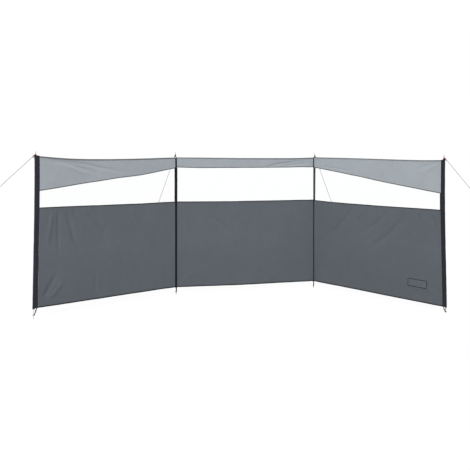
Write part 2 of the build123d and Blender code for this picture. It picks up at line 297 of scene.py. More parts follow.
# ---------------------------------------------------------------- materials
class Nodes:
    """A short way to write a node tree."""

    def __init__(self, name):
        self.mat = bpy.data.materials.new(name)
        self.mat.use_nodes = True
        self.t = self.mat.node_tree
        self.t.nodes.clear()
        self.out = self.t.nodes.new("ShaderNodeOutputMaterial")
        self.bsdf = self.t.nodes.new("ShaderNodeBsdfPrincipled")
        self.t.links.new(self.bsdf.outputs[0], self.out.inputs[0])

    def new(self, kind, **settings):
        n = self.t.nodes.new("ShaderNode" + kind)
        for k, v in settings.items():
            setattr(n, k, v)
        return n

    def put(self, socket, value):
        if isinstance(value, bpy.types.NodeSocket):
            self.t.links.new(value, socket)
        else:
            socket.default_value = value

    def math(self, op, a, b=0.0, c=0.0):
        n = self.new("Math", operation=op)
        for i, v in enumerate((a, b, c)):
            if i < len(n.inputs):
                self.put(n.inputs[i], v)
        return n.outputs[0]

    def coords(self, angle=0.0, scale=(1, 1, 1)):
        tc = self.new("TexCoord")
        m = self.new("Mapping")
        m.inputs["Rotation"].default_value = (0, 0, angle)
        self.put(m.inputs["Vector"], tc.outputs["Object"])
        if scale != (1, 1, 1):
            s = self.new("Mapping")
            s.inputs["Scale"].default_value = scale
            self.put(s.inputs["Vector"], m.outputs[0])
            return s.outputs[0]
        return m.outputs[0]

    def scaled(self, vector, scale):
        s = self.new("Mapping")
        s.inputs["Scale"].default_value = scale
        self.put(s.inputs["Vector"], vector)
        return s.outputs[0]

    def noise(self, vector, scale, detail=2.0, rough=0.5):
        n = self.new("TexNoise")
        self.put(n.inputs["Vector"], vector)
        n.inputs["Scale"].default_value = scale
        n.inputs["Detail"].default_value = detail
        n.inputs["Roughness"].default_value = rough
        return n.outputs["Fac"]

    def span(self, v, lo, hi, from_lo=0.3, from_hi=0.7):
        n = self.new("MapRange")
        self.put(n.inputs["Value"], v)
        n.inputs["From Min"].default_value = from_lo
        n.inputs["From Max"].default_value = from_hi
        n.inputs["To Min"].default_value = lo
        n.inputs["To Max"].default_value = hi
        return n.outputs["Result"]

    def tinted(self, rgb, factor):
        n = self.new("VectorMath", operation="SCALE")
        n.inputs[0].default_value = rgb
        self.put(n.inputs["Scale"], factor)
        return n.outputs[0]

    def mixed(self, rgb1, rgb2, factor):
        n = self.new("Mix", data_type="RGBA")
        self.put(n.inputs["Factor"], factor)
        for i, v in ((6, rgb1), (7, rgb2)):
            if isinstance(v, bpy.types.NodeSocket):
                self.put(n.inputs[i], v)
            else:
                n.inputs[i].default_value = (*v, 1)
        return n.outputs[2]

    def bump(self, height, strength, distance, under=None):
        n = self.new("Bump")
        self.put(n.inputs["Height"], height)
        n.inputs["Strength"].default_value = strength
        n.inputs["Distance"].default_value = distance
        if under is not None:
            self.put(n.inputs["Normal"], under)
        return n.outputs[0]

    def finish(self, color, rough, normal=None, **constants):
        self.put(self.bsdf.inputs["Base Color"], color)
        self.put(self.bsdf.inputs["Roughness"], rough)
        if normal is not None:
            self.put(self.bsdf.inputs["Normal"], normal)
        for k, v in constants.items():
            self.bsdf.inputs[k.replace("_", " ")].default_value = v
        return self.mat


def cloth(name, rgb, angle, period=0.0011, depth=0.00035, vary=1.0, sheen=0.12, painted_shade=0.25, worn=0.0, low_shade=0.0):
    """Plain-woven cloth. The threads run along the bay and up it, with uneven yarn and soft clouding; painted shade
    darkens it along the hems and seams, and optionally towards the bottom.
    """
    g = Nodes(name)
    p = g.coords(angle)
    sep = g.new("SeparateXYZ")
    g.put(sep.inputs[0], p)
    k = TAU / period
    wx = g.math("SINE", g.math("MULTIPLY", sep.outputs["X"], k))
    wz = g.math("SINE", g.math("MULTIPLY", sep.outputs["Z"], k))
    weave = g.math("MULTIPLY", wx, wz)
    weft = g.noise(g.scaled(p, (9, 9, 620)), 1.0, 2.0, 0.55)
    warp = g.noise(g.scaled(p, (620, 620, 9)), 1.0, 2.0, 0.55)
    fleck = g.noise(p, 210.0, 3.0, 0.6)
    cloud = g.noise(p, 4.2, 5.0, 0.55)
    patchy = g.noise(p, 17.0, 3.0, 0.5)
    v = g.math("ADD", g.span(weft, -0.045 * vary, 0.045 * vary), g.span(warp, -0.045 * vary, 0.045 * vary))
    v = g.math("ADD", v, g.span(fleck, -0.03 * vary, 0.03 * vary))
    v = g.math("ADD", v, g.span(cloud, -0.035 * vary, 0.035 * vary))
    v = g.math("ADD", v, g.span(patchy, -0.014 * vary, 0.014 * vary))
    v = g.math("ADD", v, g.math("MULTIPLY", weave, 0.05 * vary))
    v = g.math("ADD", v, 1.0)
    # painted shade: an attribute on the mesh darkens the cloth along the hems, beside the stitching and inside the
    # sleeves
    edge = g.new("Attribute", attribute_name="painted_shade")
    v = g.math("MULTIPLY", v, g.math("SUBTRACT", 1.0, g.math("MULTIPLY", edge.outputs["Fac"], painted_shade)))
    # painted shade: darker towards the bottom of the cloth, by up to this share at the lowest part, fading out by 0.62
    # m up
    if low_shade:
        v = g.math("MULTIPLY", v, g.span(sep.outputs["Z"], 1.0 - low_shade, 1.0, 0.10, 0.62))
    if worn:
        crease = g.noise(p, 55.0, 6.0, 0.7)
        v = g.math("ADD", v, g.span(crease, 0.0, worn, 0.58, 0.72))
    h = g.math("ADD", g.math("MULTIPLY", weave, 0.5), g.math("ADD", g.math("MULTIPLY", weft, 0.8), g.math("MULTIPLY", warp, 0.8)))
    normal = g.bump(h, 0.55, depth, g.bump(fleck, 0.18, 0.0012))
    return g.finish(
        g.tinted(rgb, v), g.span(fleck, 0.80, 0.95), normal,
        Specular_IOR_Level=0.22, Sheen_Weight=sheen, Sheen_Roughness=0.45,
    )


def webbing(name, rgb, angle=0.0, vary=1.0):
    """Narrow ribbed tape and binding."""
    g = Nodes(name)
    p = g.coords(angle)
    sep = g.new("SeparateXYZ")
    g.put(sep.inputs[0], p)
    rib = g.math("SINE", g.math("MULTIPLY", g.math("ADD", sep.outputs["X"], sep.outputs["Z"]), TAU / 0.0014))
    rib2 = g.math("SINE", g.math("MULTIPLY", g.math("SUBTRACT", sep.outputs["X"], sep.outputs["Z"]), TAU / 0.0014))
    h = g.math("MULTIPLY", rib, rib2)
    fleck = g.noise(p, 260.0, 3.0, 0.6)
    cloud = g.noise(p, 9.0, 4.0, 0.55)
    v = g.math("ADD", g.span(fleck, -0.07 * vary, 0.07 * vary), g.span(cloud, -0.06 * vary, 0.06 * vary))
    v = g.math("ADD", g.math("ADD", v, g.math("MULTIPLY", h, 0.08 * vary)), 1.0)
    normal = g.bump(h, 0.5, 0.0003, g.bump(fleck, 0.2, 0.001))
    return g.finish(g.tinted(rgb, v), g.span(fleck, 0.75, 0.92), normal, Specular_IOR_Level=0.08, Sheen_Weight=0.02)


def cordage(name, rgb, scale=1.0, fleck_rgb=None, vary=1.0):
    """Braided cord: the geometry carries the braid, and this the yarns and fuzz on it."""
    g = Nodes(name)
    p = g.coords()
    yarn = g.noise(p, 900.0 / scale, 2.0, 0.5)
    soft = g.noise(p, 120.0, 3.0, 0.6)
    v = g.math("ADD", g.math("ADD", g.span(yarn, -0.16 * vary, 0.16 * vary), g.span(soft, -0.12 * vary, 0.12 * vary)), 1.0)
    color = g.tinted(rgb, v)
    if fleck_rgb is not None:
        tracer = g.new("TexNoise")
        g.put(tracer.inputs["Vector"], p)
        tracer.inputs["Scale"].default_value = 300.0
        color = g.mixed(color, fleck_rgb, g.span(tracer.outputs["Fac"], 0.0, 0.8, 0.60, 0.66))
    normal = g.bump(yarn, 0.6, 0.0005)
    return g.finish(color, g.span(soft, 0.6, 0.85), normal, Specular_IOR_Level=0.12, Sheen_Weight=0.05)


def plastic(name, rgb, rough=0.42):
    """Moulded plastic with a fine spark-eroded grain and handling marks."""
    g = Nodes(name)
    p = g.coords()
    grain = g.noise(p, 1500.0, 2.0, 0.5)
    marks = g.noise(p, 70.0, 5.0, 0.65)
    scuff = g.noise(g.scaled(p, (60, 60, 900)), 1.0, 3.0, 0.6)
    v = g.math("ADD", g.math("ADD", g.span(grain, -0.05, 0.05), g.span(marks, -0.08, 0.10)), 1.0)
    v = g.math("ADD", v, g.span(scuff, 0.0, 0.5, 0.62, 0.72))
    normal = g.bump(grain, 0.25, 0.0004, g.bump(marks, 0.12, 0.0015))
    return g.finish(g.tinted(rgb, v), g.span(marks, rough - 0.08, rough + 0.14), normal, Specular_IOR_Level=0.22)


def zinc(name, rgb, axial=True):
    """Zinc-plated steel: drawn along its length, faintly clouded, with a few dull spots."""
    g = Nodes(name)
    p = g.coords()
    draw = g.noise(g.scaled(p, (700, 700, 12) if axial else (400, 400, 400)), 1.0, 3.0, 0.6)
    cloud = g.noise(p, 60.0, 4.0, 0.6)
    spots = g.noise(p, 260.0, 3.0, 0.6)
    v = g.math("ADD", g.math("ADD", g.span(draw, -0.07, 0.07), g.span(cloud, -0.08, 0.06)), 1.0)
    color = g.mixed(g.tinted(rgb, v), (0.17, 0.15, 0.135), g.span(spots, 0.0, 0.35, 0.66, 0.74))
    normal = g.bump(draw, 0.15, 0.0004)
    return g.finish(color, g.span(cloud, 0.26, 0.46), normal, Metallic=1.0)


def clear_film(name):
    """Clear flexible film: all but invisible, with a faint haze and soft ripples in its gloss."""
    g = Nodes(name)
    p = g.coords()
    haze = g.noise(p, 14.0, 5.0, 0.6)
    ripple = g.noise(g.scaled(p, (5, 5, 9)), 1.0, 3.0, 0.5)
    normal = g.bump(ripple, 0.25, 0.02)
    return g.finish(
        g.tinted((0.36, 0.40, 0.42), g.span(haze, 0.94, 1.0)), g.span(haze, 0.05, 0.14), normal,
        Alpha=0.034, IOR=1.45, Specular_IOR_Level=1.0,
    )


A_L, A_C, A_R = -math.radians(27.47), 0.0, math.radians(57.62)
DARK = (0.0800, 0.0905, 0.1035)
PALE = (0.262, 0.288, 0.312)
# Per-bay scale of the cloth colours: partly an overall darkening of the albedo, partly painted light and shade, each
# bay's copy made brighter or darker for the light that bay gets
bay_tone_and_light = {"left": (.900, .878), "centre": (.820, .815), "right": (.788, .840)}
m_dark = {b.name: cloth(f"charcoal_cloth_{b.name}", tuple(c * bay_tone_and_light[b.name][0] for c in DARK), a, low_shade=0.10) for b, a in zip(bays, (A_L, A_C, A_R))}
m_pale = {b.name: cloth(f"pale_cloth_{b.name}", tuple(c * bay_tone_and_light[b.name][1] for c in PALE), a, vary=0.8, painted_shade=0.18) for b, a in zip(bays, (A_L, A_C, A_R))}
m_binding = {b.name: webbing(f"edge_binding_{b.name}", (0.098, 0.102, 0.108), a) for b, a in zip(bays, (A_L, A_C, A_R))}
m_window_tape = webbing("window_tape", (0.052, 0.056, 0.060))
m_dark_tape = webbing("dark_tape", (0.0120, 0.0135, 0.0165))
m_seam = webbing("seam_tape", (0.0060, 0.0070, 0.0095))
m_seam_grey = webbing("seam_tape_grey", (0.0100, 0.0120, 0.0150))
m_sleeve = cloth("sleeve_cloth", (0.0120, 0.0125, 0.0145), 0.0, period=0.0016, depth=0.0005, vary=1.6, sheen=0.06, painted_shade=0.3, worn=0.10)
m_sleeve_l = cloth("sleeve_cloth_left", (0.0120, 0.0112, 0.0205), A_L, period=0.0016, depth=0.0005, vary=1.6, sheen=0.16, painted_shade=0.3, worn=0.10)
# painted shade: a darker copy of the sleeve cloth, with little sheen, for the right wing pole whose outer side stands
# in shade
m_sleeve_r_shaded = cloth("sleeve_cloth_right_shaded", (0.0080, 0.0098, 0.0140), A_R, period=0.0016, depth=0.0005, vary=1.6, sheen=0.03, painted_shade=0.3, worn=0.10)
m_thread_dark = cordage("thread_dark", (0.035, 0.038, 0.045), 0.4)
m_thread_pale = cordage("thread_pale", (0.20, 0.21, 0.225), 0.4)
m_film = clear_film("clear_film")
m_plastic = plastic("black_plastic", (0.0085, 0.0085, 0.0095), 0.5)
m_steel = zinc("zinc_plated_tube", (0.36, 0.365, 0.375))
# zinc darkened below its own tone, partly as a blackened finish and partly as painted shade, for the pins and three of
# the spikes
m_pin_shaded = zinc("zinc_plated_pin_shaded", (0.30, 0.30, 0.31))
m_bright = zinc("zinc_plated_bright", (0.66, 0.66, 0.67))
m_peg = zinc("zinc_plated_wire", (0.34, 0.34, 0.35), axial=False)
m_guy = cordage("guy_cord", (0.060, 0.058, 0.059), 1.0, fleck_rgb=(0.15, 0.15, 0.155))
m_elastic = cordage("black_elastic", (0.0045, 0.0055, 0.0055), 0.7)
m_maroon = cordage("whipping_maroon", (0.160, 0.012, 0.036), 0.5)
m_whip_grey = cordage("whipping_grey", (0.06, 0.06, 0.065), 0.5)
m_patch = {"right": cloth("patch_cloth", (0.0600, 0.0680, 0.0785), A_R, period=0.0016, depth=0.0005, vary=1.2, painted_shade=0.0)}
m_patch_edge = cordage("patch_border_thread", (0.0080, 0.0095, 0.0125), 0.4)


# ---------------------------------------------------------------- mesh helpers
made = []


def piece(name, verts, faces, material, slot, replaces=(), painted_shade=None, smooth_faces=True, face_mats=None, extra=()):
    me = bpy.data.meshes.new(name)
    me.from_pydata(np.asarray(verts, float).reshape(-1, 3).tolist(), [], [tuple(int(i) for i in f) for f in faces])
    for m in [material, *extra]:
        me.materials.append(m)
    if face_mats is not None:
        me.polygons.foreach_set("material_index", np.asarray(face_mats, np.int32))
    me.polygons.foreach_set("use_smooth", np.full(len(me.polygons), smooth_faces))
    # a point attribute holding the painted shade for the cloth materials
    if painted_shade is not None:
        a = me.attributes.new("painted_shade", "FLOAT", "POINT")
        a.data.foreach_set("value", np.asarray(painted_shade, np.float32))
    me.update()
    o = bpy.data.objects.new(name, me)
    bpy.context.scene.collection.objects.link(o)
    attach(o, "root")
    if replaces:
        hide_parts(*replaces)
    made.append(o)
    return o


class Build:
    """Collects several shells in one mesh."""

    def __init__(self):
        self.v, self.f, self.m, self.n = [], [], [], 0

    def add(self, verts, faces, mat=0):
        verts = np.asarray(verts, float).reshape(-1, 3)
        faces = np.asarray(faces, int)
        self.v.append(verts)
        self.f.extend((faces + self.n).tolist())
        self.m.extend([mat] * len(faces))
        self.n += len(verts)

    def make(self, name, material, slot, **kw):
        return piece(name, np.concatenate(self.v), self.f, material, slot, face_mats=self.m, **kw)


def shell(front, back):
    """A closed sheet from two grids of points, rows upwards and columns along."""
    nz, ns, _ = front.shape
    idx = np.arange(nz * ns).reshape(nz, ns)
    off = nz * ns
    a, b, c, d = idx[:-1, :-1], idx[:-1, 1:], idx[1:, 1:], idx[1:, :-1]
    f = np.stack([a, b, c, d], -1).reshape(-1, 4)
    g = np.stack([a, d, c, b], -1).reshape(-1, 4) + off
    ring = np.concatenate([idx[0, :], idx[1:, -1], idx[-1, -2::-1], idx[-2:0:-1, 0]])
    nxt = np.roll(ring, -1)
    rim = np.stack([ring, ring + off, nxt + off, nxt], -1)
    return np.concatenate([front.reshape(-1, 3), back.reshape(-1, 3)]), np.concatenate([f, g, rim])


def bar(sections):
    """A closed bar from rings of points, one ring per station, counter-clockwise seen along the run's start."""
    n, k, _ = sections.shape
    idx = np.arange(n * k).reshape(n, k)
    a, b = idx[:-1, :], np.roll(idx[:-1, :], -1, 1)
    c, d = np.roll(idx[1:, :], -1, 1), idx[1:, :]
    side = np.stack([a, b, c, d], -1).reshape(-1, 4)
    return sections.reshape(-1, 3), side, idx[0], idx[-1]


def frames(path):
    """Tangents and two normals that turn as little as they can along a path."""
    p = np.asarray(path, float)
    t = np.gradient(p, axis=0)
    t /= np.linalg.norm(t, axis=1)[:, None] + 1e-12
    ref = np.array([0, 0, 1.0]) if abs(t[0][2]) < 0.9 else np.array([1.0, 0, 0])
    n = np.cross(t[0], ref)
    n /= np.linalg.norm(n)
    ns, bs = [n], [np.cross(t[0], n)]
    for i in range(1, len(p)):
        n = ns[-1] - t[i] * (ns[-1] @ t[i])
        n /= np.linalg.norm(n) + 1e-12
        ns.append(n)
        bs.append(np.cross(t[i], n))
    return p, t, np.array(ns), np.array(bs)


def rope(build, path, radius, sides=8, braid=0.0, pitch=0.006, mat=0, round_ends=True):
    """A cord along a path. braid is the depth of its pattern as a share of the radius."""
    p, t, n, b = frames(path)
    seg = np.r_[0, np.cumsum(np.linalg.norm(np.diff(p, axis=0), axis=1))]
    th = np.arange(sides) / sides * TAU
    r = np.broadcast_to(np.asarray(radius, float), (len(p),)).astype(float).copy()
    rr = r[:, None] * np.ones(sides)[None]
    if braid:
        ph = TAU * seg[:, None] / pitch
        rr = rr * (1 + braid * (np.cos(2 * th[None] + ph) * np.cos(2 * th[None] - ph)))
    ring = p[:, None] + rr[..., None] * (np.cos(th)[None, :, None] * n[:, None] + np.sin(th)[None, :, None] * b[:, None])
    if round_ends:
        first = p[0] - t[0] * r[0] * 0.55 + 0.45 * (ring[0] - p[0])
        last = p[-1] + t[-1] * r[-1] * 0.55 + 0.45 * (ring[-1] - p[-1])
        ring = np.concatenate([first[None], ring, last[None]])
    v, side, start, end = bar(ring)
    faces = side.tolist() + [list(start[::-1]), list(end)]
    tri = []
    base = len(v)
    v = np.concatenate([v, ring[0].mean(0)[None], ring[-1].mean(0)[None]])
    for i in range(sides):
        j = (i + 1) % sides
        tri.append([start[j], start[i], base])
        tri.append([end[i], end[j], base + 1])
    quads = np.asarray(side)
    build.v.append(v)
    build.f.extend((quads + build.n).tolist())
    build.f.extend((np.asarray(tri) + build.n).tolist())
    build.m.extend([mat] * (len(quads) + len(tri)))
    build.n += len(v)


def torus(build, centre, axis, big, small, sides=10, around=28, mat=0, braid=0.0):
    axis = np.asarray(axis, float) / np.linalg.norm(axis)
    ref = np.array([1.0, 0, 0]) if abs(axis[0]) < 0.8 else np.array([0, 1.0, 0])
    x = np.cross(axis, ref)
    x /= np.linalg.norm(x)
    y = np.cross(axis, x)
    a = np.arange(around) / around * TAU
    th = np.arange(sides) / sides * TAU
    out = np.cos(a)[:, None] * x + np.sin(a)[:, None] * y
    r = small * (1 + braid * np.cos(2 * th[None, :] + 9 * a[:, None]) * np.cos(2 * th[None, :] - 9 * a[:, None]))
    ring = np.asarray(centre) + big * out[:, None] + r[..., None] * (np.cos(th)[None, :, None] * out[:, None] + np.sin(th)[None, :, None] * axis)
    idx = np.arange(around * sides).reshape(around, sides)
    p, q = np.roll(idx, -1, 0), np.roll(idx, -1, 1)
    pq = np.roll(p, -1, 1)
    # wound so that the faces look outwards
    build.add(ring, np.stack([idx, p, pq, q], -1).reshape(-1, 4), mat)


def lathe(build, profile, origin, axis, sides=32, mat=0):
    """A turned solid. The profile is (radius, height) from the bottom of the axis to its top, both ends on the axis."""
    axis = np.asarray(axis, float) / np.linalg.norm(axis)
    ref = np.array([1.0, 0, 0]) if abs(axis[0]) < 0.8 else np.array([0, 1.0, 0])
    x = np.cross(ref, axis)
    x /= np.linalg.norm(x)
    y = np.cross(axis, x)
    th = np.arange(sides) / sides * TAU
    d = np.cos(th)[:, None] * x + np.sin(th)[:, None] * y
    o = np.asarray(origin, float)
    inner = profile[1:-1]
    ring = np.array([o + axis * h + d * r for r, h in inner])
    v, side, start, end = bar(ring)
    base = len(v)
    v = np.concatenate([v, [o + axis * profile[0][1]], [o + axis * profile[-1][1]]])
    tri = []
    for i in range(sides):
        j = (i + 1) % sides
        tri.append([start[j], start[i], base])
        tri.append([end[i], end[j], base + 1])
    build.v.append(v)
    build.f.extend((side + build.n).tolist())
    build.f.extend((np.asarray(tri) + build.n).tolist())
    build.m.extend([mat] * (len(side) + len(tri)))
    build.n += len(v)


def stitches(build, points, normals, pitch=0.0042, length=0.0030, radius=0.00030, mat=0, phase=0.0):
    """A row of stitches: points and outward normals along the seam."""
    p = np.asarray(points, float)
    nn = np.asarray(normals, float)
    seg = np.r_[0, np.cumsum(np.linalg.norm(np.diff(p, axis=0), axis=1))]
    at = np.arange(pitch * (0.5 + phase), seg[-1] - length, pitch)
    a = np.stack([np.interp(at, seg, p[:, i]) for i in range(3)], -1)
    b = np.stack([np.interp(at + length, seg, p[:, i]) for i in range(3)], -1)
    n = np.stack([np.interp(at, seg, nn[:, i]) for i in range(3)], -1)
    n /= np.linalg.norm(n, axis=1)[:, None]
    t = b - a
    t /= np.linalg.norm(t, axis=1)[:, None]
    side = np.cross(t, n)
    m1, m2 = a + (b - a) * 0.25, a + (b - a) * 0.75
    lift = radius * 0.55
    rings = []
    for m in (m1, m2):
        rings.append(m + n * (lift + radius))
        rings.append(m - side * radius * 1.1 + n * (lift - radius * 0.5))
        rings.append(m + side * radius * 1.1 + n * (lift - radius * 0.5))
    k = len(at)
    v = np.concatenate([a - n * radius * 0.4, *rings, b - n * radius * 0.4])
    i = np.arange(k)
    A, r = i, [i + k * (1 + j) for j in range(6)]
    B = i + k * 7
    f3, f4 = [], []
    for x, y in ((0, 1), (1, 2), (2, 0)):
        f3.append(np.stack([A, r[x], r[y]], -1))
        f3.append(np.stack([B, r[3 + y], r[3 + x]], -1))
        f4.append(np.stack([r[x], r[3 + x], r[3 + y], r[y]], -1))
    build.v.append(v)
    for f in f3 + f4:
        build.f.extend((f + build.n).tolist())
        build.m.extend([mat] * len(f))
    build.n += len(v)


# ---------------------------------------------------------------- cloth
def spaced(span, step, fixed):
    """Positions from 0 to span: the fixed ones, and even steps between them."""
    marks = sorted({round(x, 6) for x in [0.0, span, *fixed] if 0 <= x <= span})
    out = [marks[0]]
    for a, b in zip(marks, marks[1:]):
        n = max(1, int(round((b - a) / step)))
        out += [a + (b - a) * i / n for i in range(1, n + 1)]
    return np.array(out)


def cloth_piece(bay, name, low, high, step, hems, thick, material, slot, replaces, lift=0.0, over=(0.0, 0.0)):
    """A sewn sheet between two edges. hems are the depths of the folded edges below and above, and over is how far it runs past each edge."""
    mean = float(np.mean(high(np.linspace(0.1, 1.4, 9)) - low(np.linspace(0.1, 1.4, 9)))) + sum(over)
    fixed = []
    if hems[0]:
        fixed += [0.0012, hems[0] - 0.0012, hems[0], hems[0] + 0.0014]
    if hems[1]:
        fixed += [mean - 0.0012, mean - hems[1] + 0.0012, mean - hems[1], mean - hems[1] - 0.0014]
    rows = spaced(mean, step, fixed)
    cols = spaced(1.0, step / 1.53, [])
    b = rows[:, None] / mean
    a = cols[None, :]
    s = np.broadcast_to(a * bay.length, (len(rows), len(cols)))
    for _ in range(3):
        zl, zh = low(s) - over[0], high(s) + over[1]
        # a hem keeps its depth where the sheet tapers
        span = zh - zl
        up = np.where(b < 0.5, rows[:, None], span - (mean - rows[:, None]))
        if hems == (0, 0) or span.min() > 0.9 * mean and span.max() < 1.1 * mean:
            up = b * span
        else:
            keep = max(hems) + 0.006
            k = np.clip((rows[:, None] - keep) / max(mean - 2 * keep, 1e-6), 0, 1)
            up = np.where(rows[:, None] <= keep, rows[:, None], np.where(rows[:, None] >= mean - keep, span - (mean - rows[:, None]), keep + k * (span - 2 * keep)))
        z = zl + up
        s = bay.s0(z) + (bay.s1(z) - bay.s0(z)) * a
    d = bay.depth(s, z) + lift
    hem_low = (up <= hems[0] + 1e-5) & (hems[0] > 0)
    hem_high = (span - up <= hems[1] + 1e-5) & (hems[1] > 0)
    t = thick / 2 + np.where(hem_low | hem_high, thick * 0.42, 0.0)
    # puckers where the needle drew the cloth together
    near = np.minimum(np.where(hems[0] > 0, up, 9), np.where(hems[1] > 0, span - up, 9))
    pull = np.exp(-((near / 0.022) ** 2)) * 0.00042
    d = d + pull * noise2(s * 95, near * 20 + 3, bay.seed + 6) * 1.6
    front = bay.point(s, z, d + t)
    back = bay.point(s, z, d - t)
    # painted shade: darker over the folded hems, and fading out within about a centimetre of each stitched edge
    painted_shade = np.where(hem_low | hem_high, 1.0, 0.0) * 0.55 + np.exp(-((near / 0.010) ** 2)) * 0.45
    v, f = shell(front, back)
    o = piece(name, v, f, material, slot, replaces, painted_shade=np.concatenate([painted_shade.ravel(), painted_shade.ravel()]))
    return o


def strip(bay, name, edge, z0, z1, lift, thick, material, slot, s_pad=0.0, step=0.007, wavy=0.0006, build=None, mat=0):
    """A tape sewn along an edge, from z0 to z1 above it."""
    cols = np.linspace(0, 1, int(bay.length / step))
    s = cols * bay.length
    for _ in range(3):
        z = edge(s)
        s = bay.s0(z) + s_pad + (bay.s1(z) - bay.s0(z) - 2 * s_pad) * cols
    e = edge(s) + wavy * noise2(s * 14, s * 0 + 2, bay.seed + 7)
    w = z1 - z0
    # rounded rectangle, counter-clockwise seen from the far end of the run
    r = min(thick, w) * 0.35
    prof = [(z0 + r, 0), (z0, r), (z0, thick - r), (z0 + r, thick), (z1 - r, thick), (z1, thick - r), (z1, r), (z1 - r, 0)]
    rings = []
    for dz, h in prof:
        zz = e + dz
        rings.append(bay.point(s, zz, bay.depth(s, zz) + lift + h))
    ring = np.stack(rings, 1)
    v, side, start, end = bar(ring)
    own = build is None
    build = build or Build()
    faces = np.asarray(side)
    build.add(v, faces, mat)
    build.f.extend([[int(i) + build.n - len(v) for i in start[::-1]], [int(i) + build.n - len(v) for i in end]])
    build.m.extend([mat, mat])
    return build.make(name, material, slot) if own else None


pieces_on = {b.name: [] for b in bays}
CLOTH_T = 0.0010
STEP = 0.0088

for bay in bays:
    nm = bay.name
    lap = (0.0065, 0.0095) if nm == "right" else (0.0, 0.0)
    bay.extra = lap[0]
    panel = cloth_piece(
        bay, f"{nm}_panel_cloth", bay.hem, bay.panel_top, STEP, (0.020, 0.010), CLOTH_T,
        m_dark[nm], "charcoal_cloth", [f"{nm}_lower_panel"],
    )
    bay.extra = lap[1]
    band = cloth_piece(
        bay, f"{nm}_band_cloth", bay.band_low, bay.top, STEP, (0.009, 0.010), CLOTH_T,
        m_pale[nm], "pale_cloth", [f"{nm}_top_band"], over=(0.0, -0.0006),
    )
    bay.extra = 0.0
    film = cloth_piece(
        bay, f"{nm}_window_film", bay.panel_top, bay.band_low, 0.013, (0, 0), 0.0005,
        m_film, "clear_film", [f"{nm}_window"], lift=-0.0013, over=(0.009, 0.008),
    )
    # folded binding over the top edge
    bay.extra = lap[1]
    cols = np.linspace(0, 1, 190)
    s = cols * bay.length
    for _ in range(3):
        s = bay.s0(bay.top(s)) - 0.002 + (bay.s1(bay.top(s)) - bay.s0(bay.top(s)) + 0.004) * cols
    e = bay.top(s)
    d0, d1 = {"left": (0.0105, 0.0105), "centre": (0.0062, 0.0112), "right": (0.0074, 0.0070)}[nm]
    grow = d0 + (d1 - d0) * cols - 0.0090
    deep = 0.0090
    wob = 0.0007 * noise2(s * 17, s * 0, bay.seed + 8)
    prof = [(-.0010, -.0002), (-.0010, -deep), (-.0017, -deep), (-.0021, -deep + .0006), (-.0021, .0006), (-.0014, .0014), (0, .0017), (.0014, .0014), (.0021, .0006), (.0021, -deep + .0006), (.0017, -deep), (.0010, -deep), (.0010, -.0002), (0, .0004)]
    rings = []
    for dd, dz in prof[::-1]:
        zz = e + dz + ((wob - grow) if dz < -0.004 else 0)
        rings.append(bay.point(s, zz, bay.depth(s, np.minimum(zz, e)) + dd))
    b = Build()
    v, side, start, end = bar(np.stack(rings, 1))
    b.add(v, side)
    b.f.extend([[int(i) for i in start[::-1]], [int(i) for i in end]])
    b.m.extend([0, 0])
    binding = b.make(f"{nm}_top_binding", m_binding[nm], "pale_cloth")
    top_tape = strip(bay, f"{nm}_window_tape_upper", bay.band_low, -0.0012, 0.0068, 0.0010, 0.0007, m_window_tape, "pale_cloth")
    bay.extra = lap[0]
    low_tape = strip(bay, f"{nm}_window_tape_lower", bay.panel_top, -0.0062, 0.0012, 0.0010, 0.0007, m_dark_tape, "charcoal_cloth")
    hem_tape = strip(bay, f"{nm}_hem_tape", bay.hem, -0.0010, 0.0085, 0.0010, 0.0007, m_dark_tape, "charcoal_cloth")

    bay.extra = 0.0

    # stitching, seen from both sides
    th = Build()

    def run(edge, off, lift_f, lift_b, mat, pitch=0.0044, pad=0.006):
        cols = np.linspace(0, 1, 200)
        s = cols * bay.length
        for _ in range(3):
            z = edge(s) + off
            s = bay.s0(z) + pad + (bay.s1(z) - bay.s0(z) - 2 * pad) * cols
        z = edge(s) + off + 0.0002 * noise2(s * 40, s * 0, bay.seed + 9)
        nrm = np.tile(np.array([bay.n[0], bay.n[1], 0.0]), (len(s), 1))
        stitches(th, bay.on(s, z, lift_f), nrm, pitch, mat=mat)
        stitches(th, bay.on(s, z, -lift_b)[::-1], -nrm, pitch, mat=mat, phase=0.5)

    run(bay.hem, 0.0044, 0.0017, 0.0010, 0)
    run(bay.hem, 0.0182, 0.0010, 0.0010, 0)
    run(bay.panel_top, -0.0028, 0.0017, 0.0016, 0)
    run(bay.panel_top, -0.0085, 0.0010, 0.0016, 0)
    run(bay.band_low, 0.0030, 0.0017, 0.0016, 1)
    run(bay.top, -0.0056, 0.0021, 0.0021, 1)
    thread = th.make(f"{nm}_stitching", m_thread_dark, "charcoal_cloth", extra=[m_thread_pale])

    if nm != "centre":
        zs = np.linspace(float(bay.panel_top(bay.length if nm == "right" else 0.0)) - 0.004, float(bay.band_low(bay.length if nm == "right" else 0.0)) + 0.004, 40)
        rings = []
        for z in zs:
            e = bay.s0(z) if nm == "left" else bay.s1(z)
            out = 1 if nm == "left" else -1
            rings.append([bay.point(e + out * x, z, bay.depth(e + out * x, z) + y) for x, y in ((-.0030, .0007), (.0004, .0003), (.0008, .0005), (.0008, .0009), (.0004, .0013), (-.0030, .0019))])
        side = Build()
        ring = np.array(rings)
        if nm == "left":
            ring = ring[:, ::-1]
        v, sd, st, en = bar(ring)
        side.add(v, sd)
        side.f.extend([[int(i) for i in st[::-1]], [int(i) for i in en]])
        side.m.extend([0, 0])
        side.make(f"{nm}_window_side_tape", m_seam_grey, "black_cloth")

    zc = HEM + 0.5
    wide = float(bay.s1(zc) - bay.s0(zc))
    tall = float(bay.panel_top(0.8) - bay.hem(0.8))


